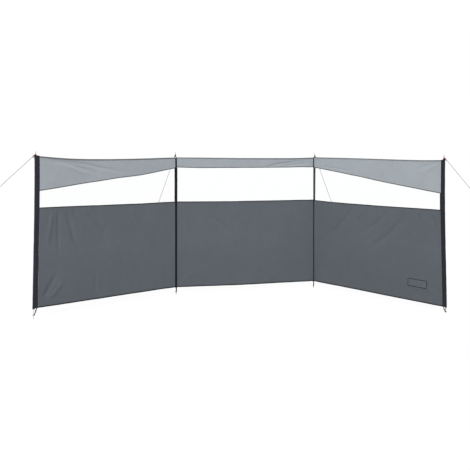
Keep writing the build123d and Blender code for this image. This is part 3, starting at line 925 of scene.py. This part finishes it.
# ---------------------------------------------------------------- sleeves
def wing_profile(sign, n=72):
    """Outline of a wing sleeve round its pole, laid flat towards the bay: full round the pole, drawn together at the seam."""
    r, flat, end = 0.0108, 0.00105, POLE_OUT + HALF
    up = []
    for a in np.linspace(180, 62, 20):
        up.append((r * math.cos(math.radians(a)), r * math.sin(math.radians(a))))
    x0, y0 = up[-1]
    slope = -1 / math.tan(math.radians(62))
    x1 = 0.0205
    for t in np.linspace(0, 1, 12)[1:]:
        h00, h10, h01 = 2 * t**3 - 3 * t**2 + 1, t**3 - 2 * t**2 + t, -2 * t**3 + 3 * t**2
        up.append((x0 + (x1 - x0) * t, h00 * y0 + h10 * (x1 - x0) * slope * 1.4 + h01 * flat))
    for x in (0.0222, 0.025, 0.030, end - 0.004, end - 0.0012):
        up.append((x, flat))
    up.append((end - 0.0003, flat * 0.7))
    up.append((end, 0.0))
    low = [(x, -y) for x, y in up[1:-1]][::-1]
    prof = np.array(up + low)
    prof[:, 0] *= sign
    if sign > 0:
        prof = prof[::-1]
    return prof


def hull(points):
    pts = sorted(map(tuple, points))

    def half(seq):
        out = []
        for p in seq:
            while len(out) > 1 and (out[-1][0] - out[-2][0]) * (p[1] - out[-2][1]) - (out[-1][1] - out[-2][1]) * (p[0] - out[-2][0]) <= 0:
                out.pop()
            out.append(p)
        return out[:-1]

    return np.array(half(pts) + half(pts[::-1]))


def inner_profile(tips, n=64):
    """Outline of an inner sleeve: round the pole, with its two layers brought to the cloth in front."""
    ring = [(0.0104 * math.cos(a), 0.0104 * math.sin(a)) for a in np.linspace(0, TAU, 80, endpoint=False)]
    for x in tips:
        ring += [(x + 0.0006 * math.cos(a), -0.0111 + 0.0006 * math.sin(a)) for a in np.linspace(0, TAU, 16, endpoint=False)]
    h = hull(ring)
    out = []
    for a in np.linspace(0, TAU, n, endpoint=False):
        d = np.array([math.cos(a), math.sin(a)])
        best = 0
        for p, q in zip(h, np.roll(h, -1, 0)):
            e = q - p
            det = d[0] * -e[1] + e[0] * d[1]
            if abs(det) < 1e-12:
                continue
            t = (p[0] * -e[1] + e[0] * p[1]) / det
            u = (d[0] * p[1] - d[1] * p[0]) / det
            if t > 0 and -1e-9 <= u <= 1 + 1e-9:
                best = max(best, t)
        out.append(d * best)
    return np.array(out)


def sleeve(pole, prof, material, seed, rows=120, peak=0.0):
    """peak is how much higher the upper edge is at the pole than at the stitched end."""
    z0, z1 = HEM + pole.rise, TOP + pole.rise
    hs = spaced(z1 - z0, (z1 - z0) / rows, [0.0010, 0.013, 0.0145, z1 - z0 - 0.0145, z1 - z0 - 0.013, z1 - z0 - 0.0010]) + z0
    k = len(prof)
    rad = np.hypot(*prof.T)
    ang = np.arctan2(prof[:, 1], prof[:, 0])
    full = np.clip((rad - 0.009) / 0.0015, 0, 1) * (rad < 0.0125)
    outer, painted_shade = [], []
    for h in hs:
        edge = min(h - z0, z1 - h)
        fold = 0.00045 if edge < 0.0135 else 0.0
        ripple = 0.00055 * noise2(ang * 1.6 + 5, np.full(k, h * 21), seed) + 0.0004 * noise2(ang * 3.2, np.full(k, h * 47), seed + 1)
        push = (fold + ripple * full) * np.ones(k)
        d = prof / rad[:, None]
        flat_zone = np.abs(prof[:, 1]) < 0.0016
        xy = prof + np.where(flat_zone[:, None], np.stack([0 * push, np.sign(prof[:, 1]) * (fold * 0.7)], -1), d * push[:, None])
        waver = 0.0011 * float(noise2(h * 6.0, 0.0, seed + 2)) * np.clip((np.abs(prof[:, 0]) - 0.012) / 0.02, 0, 1)
        xy[:, 1] += waver
        raise_ = peak * smooth((h - z1 + 0.16) / 0.16) * (1 - smooth((np.abs(prof[:, 0]) - 0.004) / 0.034))
        outer.append(pole.local(xy[:, 0], xy[:, 1], h + raise_))
        painted_shade.append(np.full(k, 1.0 if edge < 0.0135 else 0.0))
    outer = np.array(outer)
    inner = []
    lo, hi = z0 + 0.00, z1 - 0.00
    depths = [hi, hi - 0.012, *np.linspace(hi - 0.012, lo + 0.012, 42)[1:-1], lo + 0.012, lo]
    for h in depths:
        inner.append(pole.local(np.cos(ang) * 0.0098, np.sin(ang) * 0.0098, h + (peak * 0.96 if h > 1 else 0.0)))
    inner = np.array(inner)
    rings = np.concatenate([outer, inner])
    n = len(rings)
    idx = np.arange(n * k).reshape(n, k)
    nxt = np.roll(idx, -1, 0)
    a, b2 = idx, np.roll(idx, -1, 1)
    c, d2 = np.roll(nxt, -1, 1), nxt
    faces = np.stack([a, b2, c, d2], -1).reshape(-1, 4)
    area = 0.5 * np.sum(prof[:, 0] * np.roll(prof[:, 1], -1) - np.roll(prof[:, 0], -1) * prof[:, 1])
    if area < 0:
        faces = faces[:, ::-1]
    # painted shade on the folded ends and over the whole inside of the sleeve
    t = np.concatenate([np.array(painted_shade).ravel(), np.ones(len(depths) * k)])
    return piece(f"{pole.name}_sleeve_cloth", rings.reshape(-1, 3), faces, material, "black_cloth", [f"{pole.name}_pole_sleeve"], painted_shade=t)


sleeves = [
    sleeve(P1, wing_profile(1), m_sleeve_l, 71, peak=0.0068),
    sleeve(P2, inner_profile((-0.002, 0.010)), m_sleeve, 74),
    sleeve(P3, inner_profile((-0.010, 0.002)), m_sleeve, 77),
    sleeve(P4, wing_profile(-1), m_sleeve_r_shaded, 80, peak=0.0075),
]

for pole, sign in ((P1, 1), (P4, -1)):
    b = Build()
    z0, z1 = HEM + pole.rise, TOP + pole.rise
    h = np.linspace(z0 + 0.003, z1 - 0.003, 160)
    for x in (0.0215, POLE_OUT + HALF - 0.0035):
        for side in (-1, 1):
            pts = pole.local(sign * x, side * 0.00105, h)
            nrm = np.tile(pole.y * side, (len(h), 1))
            stitches(b, pts, nrm, 0.0046, 0.0033, 0.00034, phase=0.5 if side > 0 else 0)
    # stitching round the folded ends
    for hh in (z0 + 0.0105, z1 - 0.0045):
        a = np.linspace(70, 290, 60) if sign > 0 else np.linspace(-110, 110, 60)
        pts = np.array([pole.local(0.0114 * math.cos(math.radians(q)), 0.0114 * math.sin(math.radians(q)), hh) for q in a])
        nrm = np.array([pole.x * math.cos(math.radians(q)) + pole.y * math.sin(math.radians(q)) for q in a])
        stitches(b, pts, nrm, 0.0040, 0.0028, 0.0003)
    b.make(f"{pole.name}_sleeve_stitching", m_thread_dark, "black_cloth")


# ---------------------------------------------------------------- seam tapes at the inner poles
def seam_tape(name, corner, u_a, u_b, widths, material, seed):
    """A tape folded into the corner of two bays. widths are (height, width on bay a, width on bay b) from the hem up."""
    n_a, n_b = np.array([u_a[1], -u_a[0]]), np.array([-u_b[1], u_b[0]])
    m = n_a + n_b
    m = m / np.linalg.norm(m)
    c = float(m @ n_a)
    near, far = 0.0011, 0.0019
    hs = spaced(TOP - HEM - 0.0005, 0.011, [w[0] - HEM for w in widths]) + HEM
    on_a = np.interp(hs, [w[0] for w in widths], [w[1] for w in widths]) + 0.0004 * noise2(hs * 9, hs * 0, seed)
    on_b = np.interp(hs, [w[0] for w in widths], [w[2] for w in widths]) + 0.0004 * noise2(hs * 9, hs * 0, seed + 1)
    rings = []
    for h, wa, wb in zip(hs, on_a, on_b):
        r = 0.0003
        pts = [
            corner + m * near / c,
            corner + n_b * near + u_b * (wb - r),
            corner + n_b * (near + r) + u_b * wb,
            corner + n_b * (far - r) + u_b * wb,
            corner + n_b * far + u_b * (wb - r),
            corner + n_b * far + u_b * wb * 0.5,
            corner + m * (far / c + 0.0004),
            corner + n_a * far + u_a * wa * 0.5,
            corner + n_a * far + u_a * (wa - r),
            corner + n_a * (far - r) + u_a * wa,
            corner + n_a * (near + r) + u_a * wa,
            corner + n_a * near + u_a * (wa - r),
        ]
        rings.append([(p[0], p[1], h) for p in pts])
    ring = np.array(rings)[:, ::-1]
    b = Build()
    v, side, start, end = bar(ring)
    b.add(v, side)
    b.f.extend([[int(i) for i in start[::-1]], [int(i) for i in end]])
    b.m.extend([0, 0])
    # a row of stitches on each leg
    for u, n, wide in ((u_a, n_a, on_a), (u_b, n_b, on_b)):
        pts = np.array([[*(corner + n * far + u * (w - 0.0022)), h] for h, w in zip(hs, wide)])
        stitches(b, pts, np.tile([n[0], n[1], 0.0], (len(hs), 1)), 0.0044, 0.0031, 0.0003, mat=1)
    return b.make(name, material, "black_cloth", replaces=[name.replace("_cloth", "")], extra=[m_thread_dark])


tape_l = seam_tape("inner_left_seam_tape_cloth", F2, U_C, -U_L, [(HEM, .0132, .0115), (PANEL - .01, .0135, .0115), (PANEL + .01, .0156, .0192), (TOP - .12, .0162, .0180), (TOP - .10, .0120, .0088), (TOP, .0100, .0095)], m_seam, 91)
tape_r = seam_tape("inner_right_seam_tape_cloth", F3, U_R, -U_C, [(HEM, .0075, .0075), (PANEL - .01, .0075, .0075), (PANEL + .01, .0066, .0062), (TOP - .12, .0066, .0062), (TOP - .10, .0068, .0074), (TOP, .0070, .0070)], m_seam_grey, 94)


# ---------------------------------------------------------------- poles
def tube_mesh(pole):
    low = HEM + pole.rise - 0.006
    high = TOP + pole.rise + pole.cap_up - 0.016
    n = 40
    th = np.arange(n) / n * TAU
    hs = np.r_[low, low + 0.0004, np.linspace(low + 0.02, high - 0.02, 26), high - 0.0004, high]
    rings = []
    for h in hs:
        r = TUBE_R - (0.0003 if h in (low, high) else 0)
        rings.append(pole.local(r * np.cos(th), r * np.sin(th), h))
    for h in hs[::-1]:
        rings.append(pole.local((TUBE_R - 0.001) * np.cos(th), (TUBE_R - 0.001) * np.sin(th), h))
    ring = np.array(rings)
    k = len(ring)
    idx = np.arange(k * n).reshape(k, n)
    a, b2, d2 = idx, np.roll(idx, -1, 1), np.roll(idx, -1, 0)
    c = np.roll(d2, -1, 1)
    return piece(f"{pole.name}_steel_tube", ring.reshape(-1, 3), np.stack([a, b2, c, d2], -1).reshape(-1, 4), m_steel, "steel_tube", [f"{pole.name}_tube"])


for pole in poles:
    tube_mesh(pole)
    # cap: a ribbed plug, a rounded head with a moulding line, and the shoulder of the pin
    top = TOP + pole.rise + pole.cap_up
    b = Build()
    lathe(b, [(0, -.0300), (.0080, -.0300), (.0084, -.0292), (.0084, -.0262), (.0080, -.0256), (.0080, -.0236), (.0084, -.0230), (.0084, -.0163),
              (.0091, -.0160), (.0095, -.0156), (.0095, -.0098), (.0092, -.0095), (.0092, -.0090), (.0095, -.0087), (.0095, -.0030), (.0093, -.0016),
              (.0086, -.0005), (.0076, 0.0), (.0056, .0002), (.0046, .0004), (.0039, .0010), (.0035, .0020), (.0034, .0040), (.0034, .0120),
              (.0032, .0127), (.0028, .0130), (0, .0130)], pole.stiff(0, 0, top), pole.axis, 40)
    # grip ribs on the head
    for i in range(18):
        a = i / 18 * TAU
        rib = [pole.stiff(0.00945 * math.cos(a), 0.00945 * math.sin(a), top + hh) for hh in (-0.0150, -0.0145, -0.0105, -0.0100)]
        rope(b, rib, np.array([0.0001, 0.0003, 0.0003, 0.0001]), sides=6)
    b.make(f"{pole.name}_cap", m_plastic, "black_plastic", replaces=[f"{pole.name}_cap_and_pin"])
    b = Build()
    lathe(b, [(0, .0080), (.0025, .0080), (.0025, .0318), (.00232, .0322), (.00232, .0328), (.0025, .0332), (.0025, .0366), (.0023, .0373), (.0017, .0378), (.0009, .0380), (0, .0380)],
          pole.stiff(0, 0, top), pole.axis, 24)
    b.make(f"{pole.name}_pin", m_pin_shaded, "steel_pin")
    # spike: a collar under the tube, a weld and the shank, cut level with the ground
    low = HEM + pole.rise - 0.006
    b = Build()
    lathe(b, [(0, .0000), (.0040, .0000), (.0040, .0200), (.0040, low - .0085), (.0043, low - .0062), (.0052, low - .0042), (.0062, low - .0033), (.0078, low - .0030),
              (.0086, low - .0026), (.0088, low - .0020), (.0088, low - .0006), (.0086, low - .0001), (.0084, low + .0004), (.0084, low + .0175), (.0080, low + .0180), (0, low + .0180)],
          pole.stiff(0, 0, 0), pole.axis, 28)
    # weld beads round the shank
    for i in range(14):
        a = i / 14 * TAU
        c = pole.stiff(0.0050 * math.cos(a), 0.0050 * math.sin(a), low - 0.0040)
        lathe(b, [(0, -.0009), (.0007, -.0006), (.0010, 0.0), (.0007, .0006), (0, .0009)], c, pole.axis, 8)
    # the left spike gets plain bright zinc, the others the zinc darkened with painted shade
    b.make(f"{pole.name}_spike", m_bright if pole is P1 else m_pin_shaded, "steel_pin", replaces=[f"{pole.name}_ground_spike"])


# ---------------------------------------------------------------- elastic loops at the feet
loops = {
    "outer_left": ((POLE_OUT + 0.018, 0.0), 0.0040, (0.0086, 0.028, 0.009), 0.0060, 0.42),
    "inner_left": ((0.0026, -0.0146), 0.0046, (0.0088, 0.024, 0.011), 0.0060, 0.62),
    "inner_right": ((-0.001, -0.0134), 0.0034, (0.0084, 0.023, 0.010), 0.0048, 0.62),
    "outer_right": ((-(POLE_OUT + 0.013), 0.0), 0.0040, (0.0086, 0.003, 0.009), 0.0056, 0.62),
}


def arc_points(pts, n):
    """A smooth line through a few points."""
    p = np.asarray(pts, float)
    q = np.concatenate([[2 * p[0] - p[1]], p, [2 * p[-1] - p[-2]]])
    out = []
    for i in range(1, len(q) - 2):
        for t in np.linspace(0, 1, n, endpoint=False):
            a, b, c, d = q[i - 1], q[i], q[i + 1], q[i + 2]
            out.append(0.5 * (2 * b + (c - a) * t + (2 * a - 5 * b + 4 * c - d) * t * t + (3 * b - a - 3 * c + d) * t**3))
    out.append(p[-1])
    return np.array(out)


for pole in poles:
    (hx, hy), lr, (wr, wz, wh), kr, kat = loops[pole.name]
    start = pole.stiff(hx, hy, HEM + pole.rise - 0.0024)
    to = np.array([hx, hy]) / math.hypot(hx, hy)
    end = pole.stiff(*(to * (wr - 0.0014)), wz + wh * 0.5)
    run_v = end - start
    length = np.linalg.norm(run_v)
    t = run_v / length
    side = np.cross(t, [0, 0, 1.0])
    side /= np.linalg.norm(side)
    other = np.cross(side, t)
    knot = start + run_v * kat
    b = Build()
    # two strands from the hem, side by side, to the knot and on to the spike
    sr = lr * 0.66
    for k in (0, 1):
        pts = []
        for i in range(44):
            f = i / 43
            a = k * math.pi + 0.35 * math.sin(f * TAU * 0.8) + (0.9 if f > kat else 0.0) * smooth((f - kat) / 0.1)
            spread = lr * 0.62 * (1 - 0.10 * math.sin(math.pi * f))
            pts.append(start + run_v * f + side * math.cos(a) * spread + other * math.sin(a) * spread * 0.7)
        rope(b, pts, sr, sides=10, braid=0.09, pitch=0.0050)
    # knot: three tight turns and a pass over them
    turns = []
    for i in range(60):
        f = i / 59
        a = f * TAU * 3
        turns.append(knot + t * (f - 0.5) * kr * 1.35 + (side * math.cos(a) + other * math.sin(a)) * (kr - 0.0018) * (1 - 0.16 * (2 * f - 1) ** 2))
    rope(b, turns, 0.0018, sides=8, braid=0.10, pitch=0.0040)
    over = arc_points([knot + t * kr * 0.8 + side * 0.0006, knot + side * (kr - 0.0006) + t * kr * 0.3, knot + side * (kr - 0.0004) - t * kr * 0.4, knot - t * kr * 0.85 + other * 0.001], 8)
    rope(b, over, 0.0018, sides=8, braid=0.10, pitch=0.0040)
    tail = arc_points([knot - t * kr * 0.5 + other * (kr - 0.0014), knot - t * kr * 1.2 + other * kr * 1.1, knot - t * kr * 1.9 + other * kr * 1.3], 6)
    rope(b, tail, 0.0016, sides=8, braid=0.10, pitch=0.0040)
    # turns round the spike
    a0 = math.atan2(to[1], to[0])
    n_turn = max(1.0, round((wh - 0.003) / 0.0042))
    cr, rc = 0.0019, wr - 0.0021
    helix = []
    for i in range(int(30 * (n_turn + 0.5)) + 1):
        f = i / (30 * (n_turn + 0.5))
        a = a0 + f * (n_turn + 0.5) * TAU
        helix.append(pole.stiff(rc * math.cos(a), rc * math.sin(a), wz + cr + f * max(wh - 2 * cr, 0.001)))
    rope(b, helix, cr, sides=9, braid=0.08, pitch=0.0034)
    # sewn tab at the hem
    tab = []
    for f in np.linspace(0, 1, 8):
        c = start + np.array([0, 0, 0.0115]) * (1 - f) + np.array([0, 0, -0.0015]) * f
        w, d = 0.0042, 0.0011
        if pole.name.startswith("outer"):
            ux, uy = pole.x, pole.y
        else:
            ux, uy = np.array([1.0, 0, 0]), np.array([0, 1.0, 0])
        front = -uy * (0.0022 if pole.name.startswith("outer") else -0.0018)
        tab.append([c + front + ux * x + uy * y for x, y in ((-w, -d), (w, -d), (w, d), (-w, d))])
    ring = np.array(tab)[:, ::-1]
    v, sd, st, en = bar(ring)
    if np.cross(ring[0][1] - ring[0][0], ring[0][2] - ring[0][0]) @ (ring[1][0] - ring[0][0]) < 0:
        v, sd, st, en = bar(ring[:, ::-1])
    b.add(v, sd, 1)
    b.f.extend([[int(i) + b.n - len(v) for i in st[::-1]], [int(i) + b.n - len(v) for i in en]])
    b.m.extend([1, 1])
    b.make(f"{pole.name}_elastic", m_elastic, "black_elastic", replaces=[f"{pole.name}_foot_loop"], extra=[m_seam])


# ---------------------------------------------------------------- guy lines
guys = [
    (P1, 1.678, -U_L, m_maroon),
    (P2, 1.226, unit(108.5), m_whip_grey),
    (P3, 1.318, unit(45.7), m_whip_grey),
    (P4, 1.296, U_R, m_maroon),
]
for pole, run_h, away, whip in guys:
    up = TOP + pole.rise + pole.cap_up + 0.0074
    pin_at = pole.stiff(0, 0, up)
    aw = np.array([away[0], away[1], 0.0])
    lat = np.array([-away[1], away[0], 0.0])
    ring_at = pin_at + aw * 0.0004
    start = ring_at + aw * 0.0058
    peg = np.array([pole.at[0] + away[0] * run_h, pole.at[1] + away[1] * run_h, 0.0])
    end = peg - aw * 0.003 + np.array([0, 0, 0.022])
    line = end - start
    ln = np.linalg.norm(line)
    t = line / ln
    nrm = np.cross(lat, t)
    if nrm[2] < 0:
        nrm = -nrm
    R = 0.0019

    def at(x, side=0.0, lift=0.0):
        sag = -0.0075 * 4 * (x / ln) * (1 - x / ln)
        return start + t * x + lat * side + nrm * lift + np.array([0, 0, sag])

    runner_x = ln - 0.260
    b = Build()
    # the cord: from the pin, through the slider, round the peg and back to the slider
    xs = np.arange(0.004, runner_x - 0.03, 0.0020)
    main = [at(x) for x in xs]
    main += [at(x, -0.0040 * smooth((x - runner_x + 0.03) / 0.02)) for x in np.arange(runner_x - 0.03, runner_x + 0.024, 0.002)]
    tail_x = np.arange(runner_x + 0.024, ln - 0.002, 0.003)
    main += [at(x, -0.0040 - 0.0009 * (x - runner_x) / 0.26) for x in tail_x]
    p_up = np.array([0, 0, 0.0225])
    for a in np.linspace(-90, 90, 17):
        q = math.radians(a)
        main.append(peg + p_up + aw * (0.0049 * math.cos(q)) + lat * (0.0049 * math.sin(q)) + np.array([0, 0, 0.0006 * math.sin(q)]))
    main += [at(x, 0.0049 - 0.0009 * (ln - x) / 0.26) for x in tail_x[::-1]]
    main += [at(x, 0.0040) for x in np.arange(runner_x + 0.022, runner_x - 0.026, -0.002)]
    rope(b, main, R, sides=8, braid=0.11, pitch=0.0080)
    # stopper knot behind the slider, and its frayed-free end
    kx = runner_x - 0.0275
    turns = [at(kx + (f - 0.5) * 0.0066, 0.0040 + 0.0026 * math.cos(f * TAU * 2.5), 0.0026 * math.sin(f * TAU * 2.5)) for f in np.linspace(0, 1, 46)]
    rope(b, turns, 0.0017, sides=8, braid=0.10, pitch=0.0060)
    rope(b, arc_points([at(kx - 0.002, 0.0040), at(kx - 0.009, 0.0052, 0.0008), at(kx - 0.017, 0.0058, -0.0012)], 8), R * 0.95, sides=8, braid=0.11, pitch=0.0080)
    # end loop round the shoulder of the pin: two turns, seized together
    rope(b, arc_points([at(0.002, 0.0, -0.0024), at(0.008, 0.0, -0.0030), at(0.016, 0.0, -0.0034), at(0.026, 0.0006, -0.0036), at(0.036, 0.0014, -0.0050)], 8), R * 0.95, sides=8, braid=0.11, pitch=0.0080)
    b.make(f"{pole.name}_guy_cord", m_guy, "guy_cord", replaces=[f"{pole.name}_guy_line"])
    b = Build()
    for dz in (0.0019, -0.0019):
        torus(b, ring_at + np.array([0, 0, dz]), pole.axis, 0.0056, 0.0020, sides=10, around=36, braid=0.10)
    n_wrap = 9
    wrap = [at(0.0045 + f * 0.0190, 0.0030 * math.cos(f * TAU * n_wrap), -0.0015 + 0.0042 * math.sin(f * TAU * n_wrap)) for f in np.linspace(0, 1, 200)]
    rope(b, wrap, 0.0011, sides=7)
    if pole is P1:
        # the whipping's two loose ends hang beside the sleeve
        for lx, drop in ((0.0, 0.037), (0.0036, 0.031)):
            pts = [ring_at + aw * 0.0074 + lat * lx, ring_at + aw * 0.0125 + lat * lx + np.array([0, 0, -0.004]), ring_at + aw * 0.0166 + lat * (lx + 0.001) + np.array([0, 0, -0.017]), ring_at + aw * 0.0160 + lat * (lx + 0.0004) + np.array([0, 0, -drop])]
            rope(b, arc_points(pts, 9), 0.0016, sides=8, braid=0.10, pitch=0.0040)
    b.make(f"{pole.name}_guy_whipping", whip, "guy_cord")

    # slider: a waisted block with grip ridges and a flared mouth round each cord
    b = Build()
    L, n = 0.022, 36
    th = np.arange(n) / n * TAU
    rings = []
    c0 = at(runner_x)
    for x in np.r_[-L, -L + 0.0004, -L + 0.0012, np.linspace(-L + 0.003, L - 0.003, 49), L - 0.0012, L - 0.0004, L]:
        end_d = L - abs(x)
        k = 1.0 - 0.26 * (1 - smooth(end_d / 0.0028)) ** 2
        waist = 1.0 - 0.11 * math.cos(math.pi * x / (2 * L)) ** 2
        grip = 1.0 + (0.035 * math.cos(TAU * x / 0.0034) if abs(x) < 0.0125 else 0.0)
        a, c = 0.0075 * k * waist * grip, 0.0030 * k * (1 + (0.06 * math.cos(TAU * x / 0.0034) if abs(x) < 0.0125 else 0.0))
        ct, stn = np.cos(th), np.sin(th)
        px = a * np.sign(ct) * np.abs(ct) ** 0.55
        py = c * np.sign(stn) * np.abs(stn) ** 0.55
        rings.append(c0 + t * x + px[:, None] * lat + py[:, None] * nrm)
    ring = np.array(rings)
    v, sd, st, en = bar(ring)
    if np.cross(ring[10][1] - ring[10][0], ring[10][2] - ring[10][0]) @ t < 0:
        ring = ring[:, ::-1]
        v, sd, st, en = bar(ring)
    b.add(v, sd)
    b.f.extend([[int(i) for i in st[::-1]], [int(i) for i in en]])
    b.m.extend([0, 0])
    for x in (-L, L):
        for s_ in (-0.0040, 0.0040):
            torus(b, c0 + t * x + lat * s_, t, 0.0025, 0.0006, sides=8, around=20)
    b.make(f"{pole.name}_guy_slider", m_plastic, "black_plastic", replaces=[f"{pole.name}_guy_runner"])

    # peg: bent wire, cut level with the ground
    pts = [peg + np.array([0, 0, z]) for z in np.linspace(0.0, 0.042, 12)]
    for a in np.linspace(180, 0, 22)[1:]:
        q = math.radians(a)
        pts.append(peg + aw * (0.008 + 0.008 * math.cos(q)) + np.array([0, 0, 0.042 + 0.008 * math.sin(q)]))
    for z in np.linspace(0.042, 0.0305, 5)[1:]:
        pts.append(peg + aw * 0.016 + np.array([0, 0, z]))
    pts = np.array(pts)
    rad = np.full(len(pts), 0.0030)
    rad[-1], rad[-2] = 0.0024, 0.0029
    b = Build()
    p, tt, nn, bb = frames(pts)
    th = np.arange(18) / 18 * TAU
    ring = p[:, None] + rad[:, None, None] * (np.cos(th)[None, :, None] * nn[:, None] + np.sin(th)[None, :, None] * bb[:, None])
    v, sd, st, en = bar(ring)
    b.add(v, sd)
    b.f.extend([[int(i) for i in st[::-1]], [int(i) for i in en]])
    b.m.extend([0, 0])
    b.make(f"{pole.name}_peg", m_peg, "steel_pin", replaces=[f"{pole.name}_guy_peg"])


# ---------------------------------------------------------------- blank patch
def blank_patch():
    s0, z0, w, h = 1.286, 0.2355, 0.208, 0.078
    tilt = math.atan(RISE_R / RIGHT_BAY)
    nx, nz = 54, 22
    r = 0.012
    xs, zs = np.linspace(-1, 1, nx), np.linspace(-1, 1, nz)
    X, Z = np.meshgrid(xs, zs)
    # squeeze the grid into a rectangle with rounded corners
    px, pz = X * w / 2, Z * h / 2
    cx, cz = np.abs(px) - (w / 2 - r), np.abs(pz) - (h / 2 - r)
    corner = (cx > 0) & (cz > 0)
    sq = np.maximum(cx, cz)
    ln = np.hypot(cx, cz) + 1e-12
    fx, fz = np.where(corner, cx * sq / ln, cx), np.where(corner, cz * sq / ln, cz)
    px = np.sign(px) * np.where(corner, fx + (w / 2 - r), np.abs(px))
    pz = np.sign(pz) * np.where(corner, fz + (h / 2 - r), np.abs(pz))
    ca, sa = math.cos(tilt), math.sin(tilt)
    s, z = s0 + px * ca - pz * sa, z0 + px * sa + pz * ca
    d = right.depth(s, z)
    front = right.point(s, z, d + 0.0017)
    back = right.point(s, z, d + 0.0007)
    v, f = shell(front, back)
    b = Build()
    b.add(v, f)
    # stitched border: a raised satin edge just inside the outline
    loop = []
    inset = 0.0030
    for cx_, cz_, a0 in ((1, -1, -90), (1, 1, 0), (-1, 1, 90), (-1, -1, 180)):
        for a in np.linspace(a0, a0 + 90, 10):
            q = math.radians(a)
            x = cx_ * (w / 2 - r) + (r - inset) * math.cos(q)
            y = cz_ * (h / 2 - r) + (r - inset) * math.sin(q)
            loop.append((x, y))
    loop.append(loop[0])
    loop = np.array(loop)
    seg = np.r_[0, np.cumsum(np.hypot(*(loop[1:] - loop[:-1]).T))]
    q = np.arange(0, seg[-1], 0.0016)
    lx, lz = np.interp(q, seg, loop[:, 0]), np.interp(q, seg, loop[:, 1])
    s, z = s0 + lx * ca - lz * sa, z0 + lx * sa + lz * ca
    pts = right.point(s, z, right.depth(s, z) + 0.0017)
    m = len(pts)
    th = np.arange(8) / 8 * TAU
    tan = np.roll(pts, -1, 0) - np.roll(pts, 1, 0)
    tan /= np.linalg.norm(tan, axis=1)[:, None]
    nrm = np.array([right.n[0], right.n[1], 0.0])
    sd = np.cross(tan, nrm)
    wide = 0.0030 * (1 + 0.10 * np.where(np.arange(m) % 2, 1, -1))
    ring = pts[:, None] + wide[:, None, None] * np.cos(th)[None, :, None] * sd[:, None] + 0.0008 * np.sin(th)[None, :, None] * nrm
    idx = np.arange(m * 8).reshape(m, 8)
    p2 = np.roll(idx, -1, 0)
    b.add(ring, np.stack([idx, np.roll(idx, -1, 1), np.roll(p2, -1, 1), p2], -1).reshape(-1, 4)[:, ::-1], 1)
    return b.make("blank_patch_cloth", m_patch["right"], "patch_cloth", replaces=["blank_patch"], extra=[m_patch_edge])


patch = blank_patch()

# ---------------------------------------------------------------- floor, light and camera
me = bpy.data.meshes.new("floor")
R = 70.0
me.from_pydata([(R * math.cos(a), R * math.sin(a), -0.0005) for a in np.linspace(0, TAU, 65)[:-1]], [], [list(range(64))])
floor = bpy.data.objects.new("floor", me)
bpy.context.scene.collection.objects.link(floor)
g = Nodes("pale_floor")
fl = g.noise(g.coords(), 3.0, 4.0, 0.5)
g.bsdf.inputs["Emission Color"].default_value = (1, 1, 1, 1)
me.materials.append(g.finish(g.tinted((0.04, 0.04, 0.04), g.span(fl, 0.97, 1.03)), 0.95, Specular_IOR_Level=0.0, Emission_Strength=0.950))

world = bpy.data.worlds.new("studio")
bpy.context.scene.world = world
world.use_nodes = True
wt = world.node_tree
wt.nodes.clear()
w_out = wt.nodes.new("ShaderNodeOutputWorld")
bg = wt.nodes.new("ShaderNodeBackground")
tc = wt.nodes.new("ShaderNodeTexCoord")
sepw = wt.nodes.new("ShaderNodeSeparateXYZ")
mr = wt.nodes.new("ShaderNodeMapRange")
mr.inputs["From Min"].default_value = 0.24
mr.inputs["From Max"].default_value = 1.0
mr.inputs["To Min"].default_value = 1.01
mr.inputs["To Max"].default_value = 1.25
wt.links.new(tc.outputs["Generated"], sepw.inputs[0])
wt.links.new(sepw.outputs["Z"], mr.inputs["Value"])
wt.links.new(mr.outputs["Result"], bg.inputs["Strength"])
bg.inputs["Color"].default_value = (1, 1, 1, 1)
wt.links.new(bg.outputs[0], w_out.inputs[0])


def sun(name, azimuth, elevation, strength, spread):
    """azimuth is where the light comes from, counter-clockwise from +X."""
    li = bpy.data.lights.new(name, "SUN")
    li.energy = strength
    li.angle = math.radians(spread)
    o = bpy.data.objects.new(name, li)
    bpy.context.scene.collection.objects.link(o)
    a, e = math.radians(azimuth), math.radians(elevation)
    d = Vector((math.cos(a) * math.cos(e), math.sin(a) * math.cos(e), math.sin(e)))
    o.rotation_euler = d.to_track_quat("Z", "Y").to_euler()
    return o


sun("key", 240, 42, 2.9, 12)

cam_data = bpy.data.cameras.new("camera")
cam = bpy.data.objects.new("camera", cam_data)
bpy.context.scene.collection.objects.link(cam)
cam.location = (-0.8522, -6.7534, 1.4892)
cam.rotation_euler = (math.radians(90), 0, math.radians(-12.55))
cam_data.lens = 48.09
cam_data.sensor_width = 36
cam_data.sensor_fit = "HORIZONTAL"
cam_data.shift_x = 0.0
cam_data.shift_y = -0.1677
cam_data.clip_end = 200
cam_data.dof.use_dof = False
bpy.context.scene.camera = cam
bpy.context.scene.view_settings.view_transform = "Standard"
bpy.context.scene.view_settings.look = "None"
bpy.context.scene.view_settings.exposure = 0.0
bpy.context.scene.view_settings.gamma = 1.0
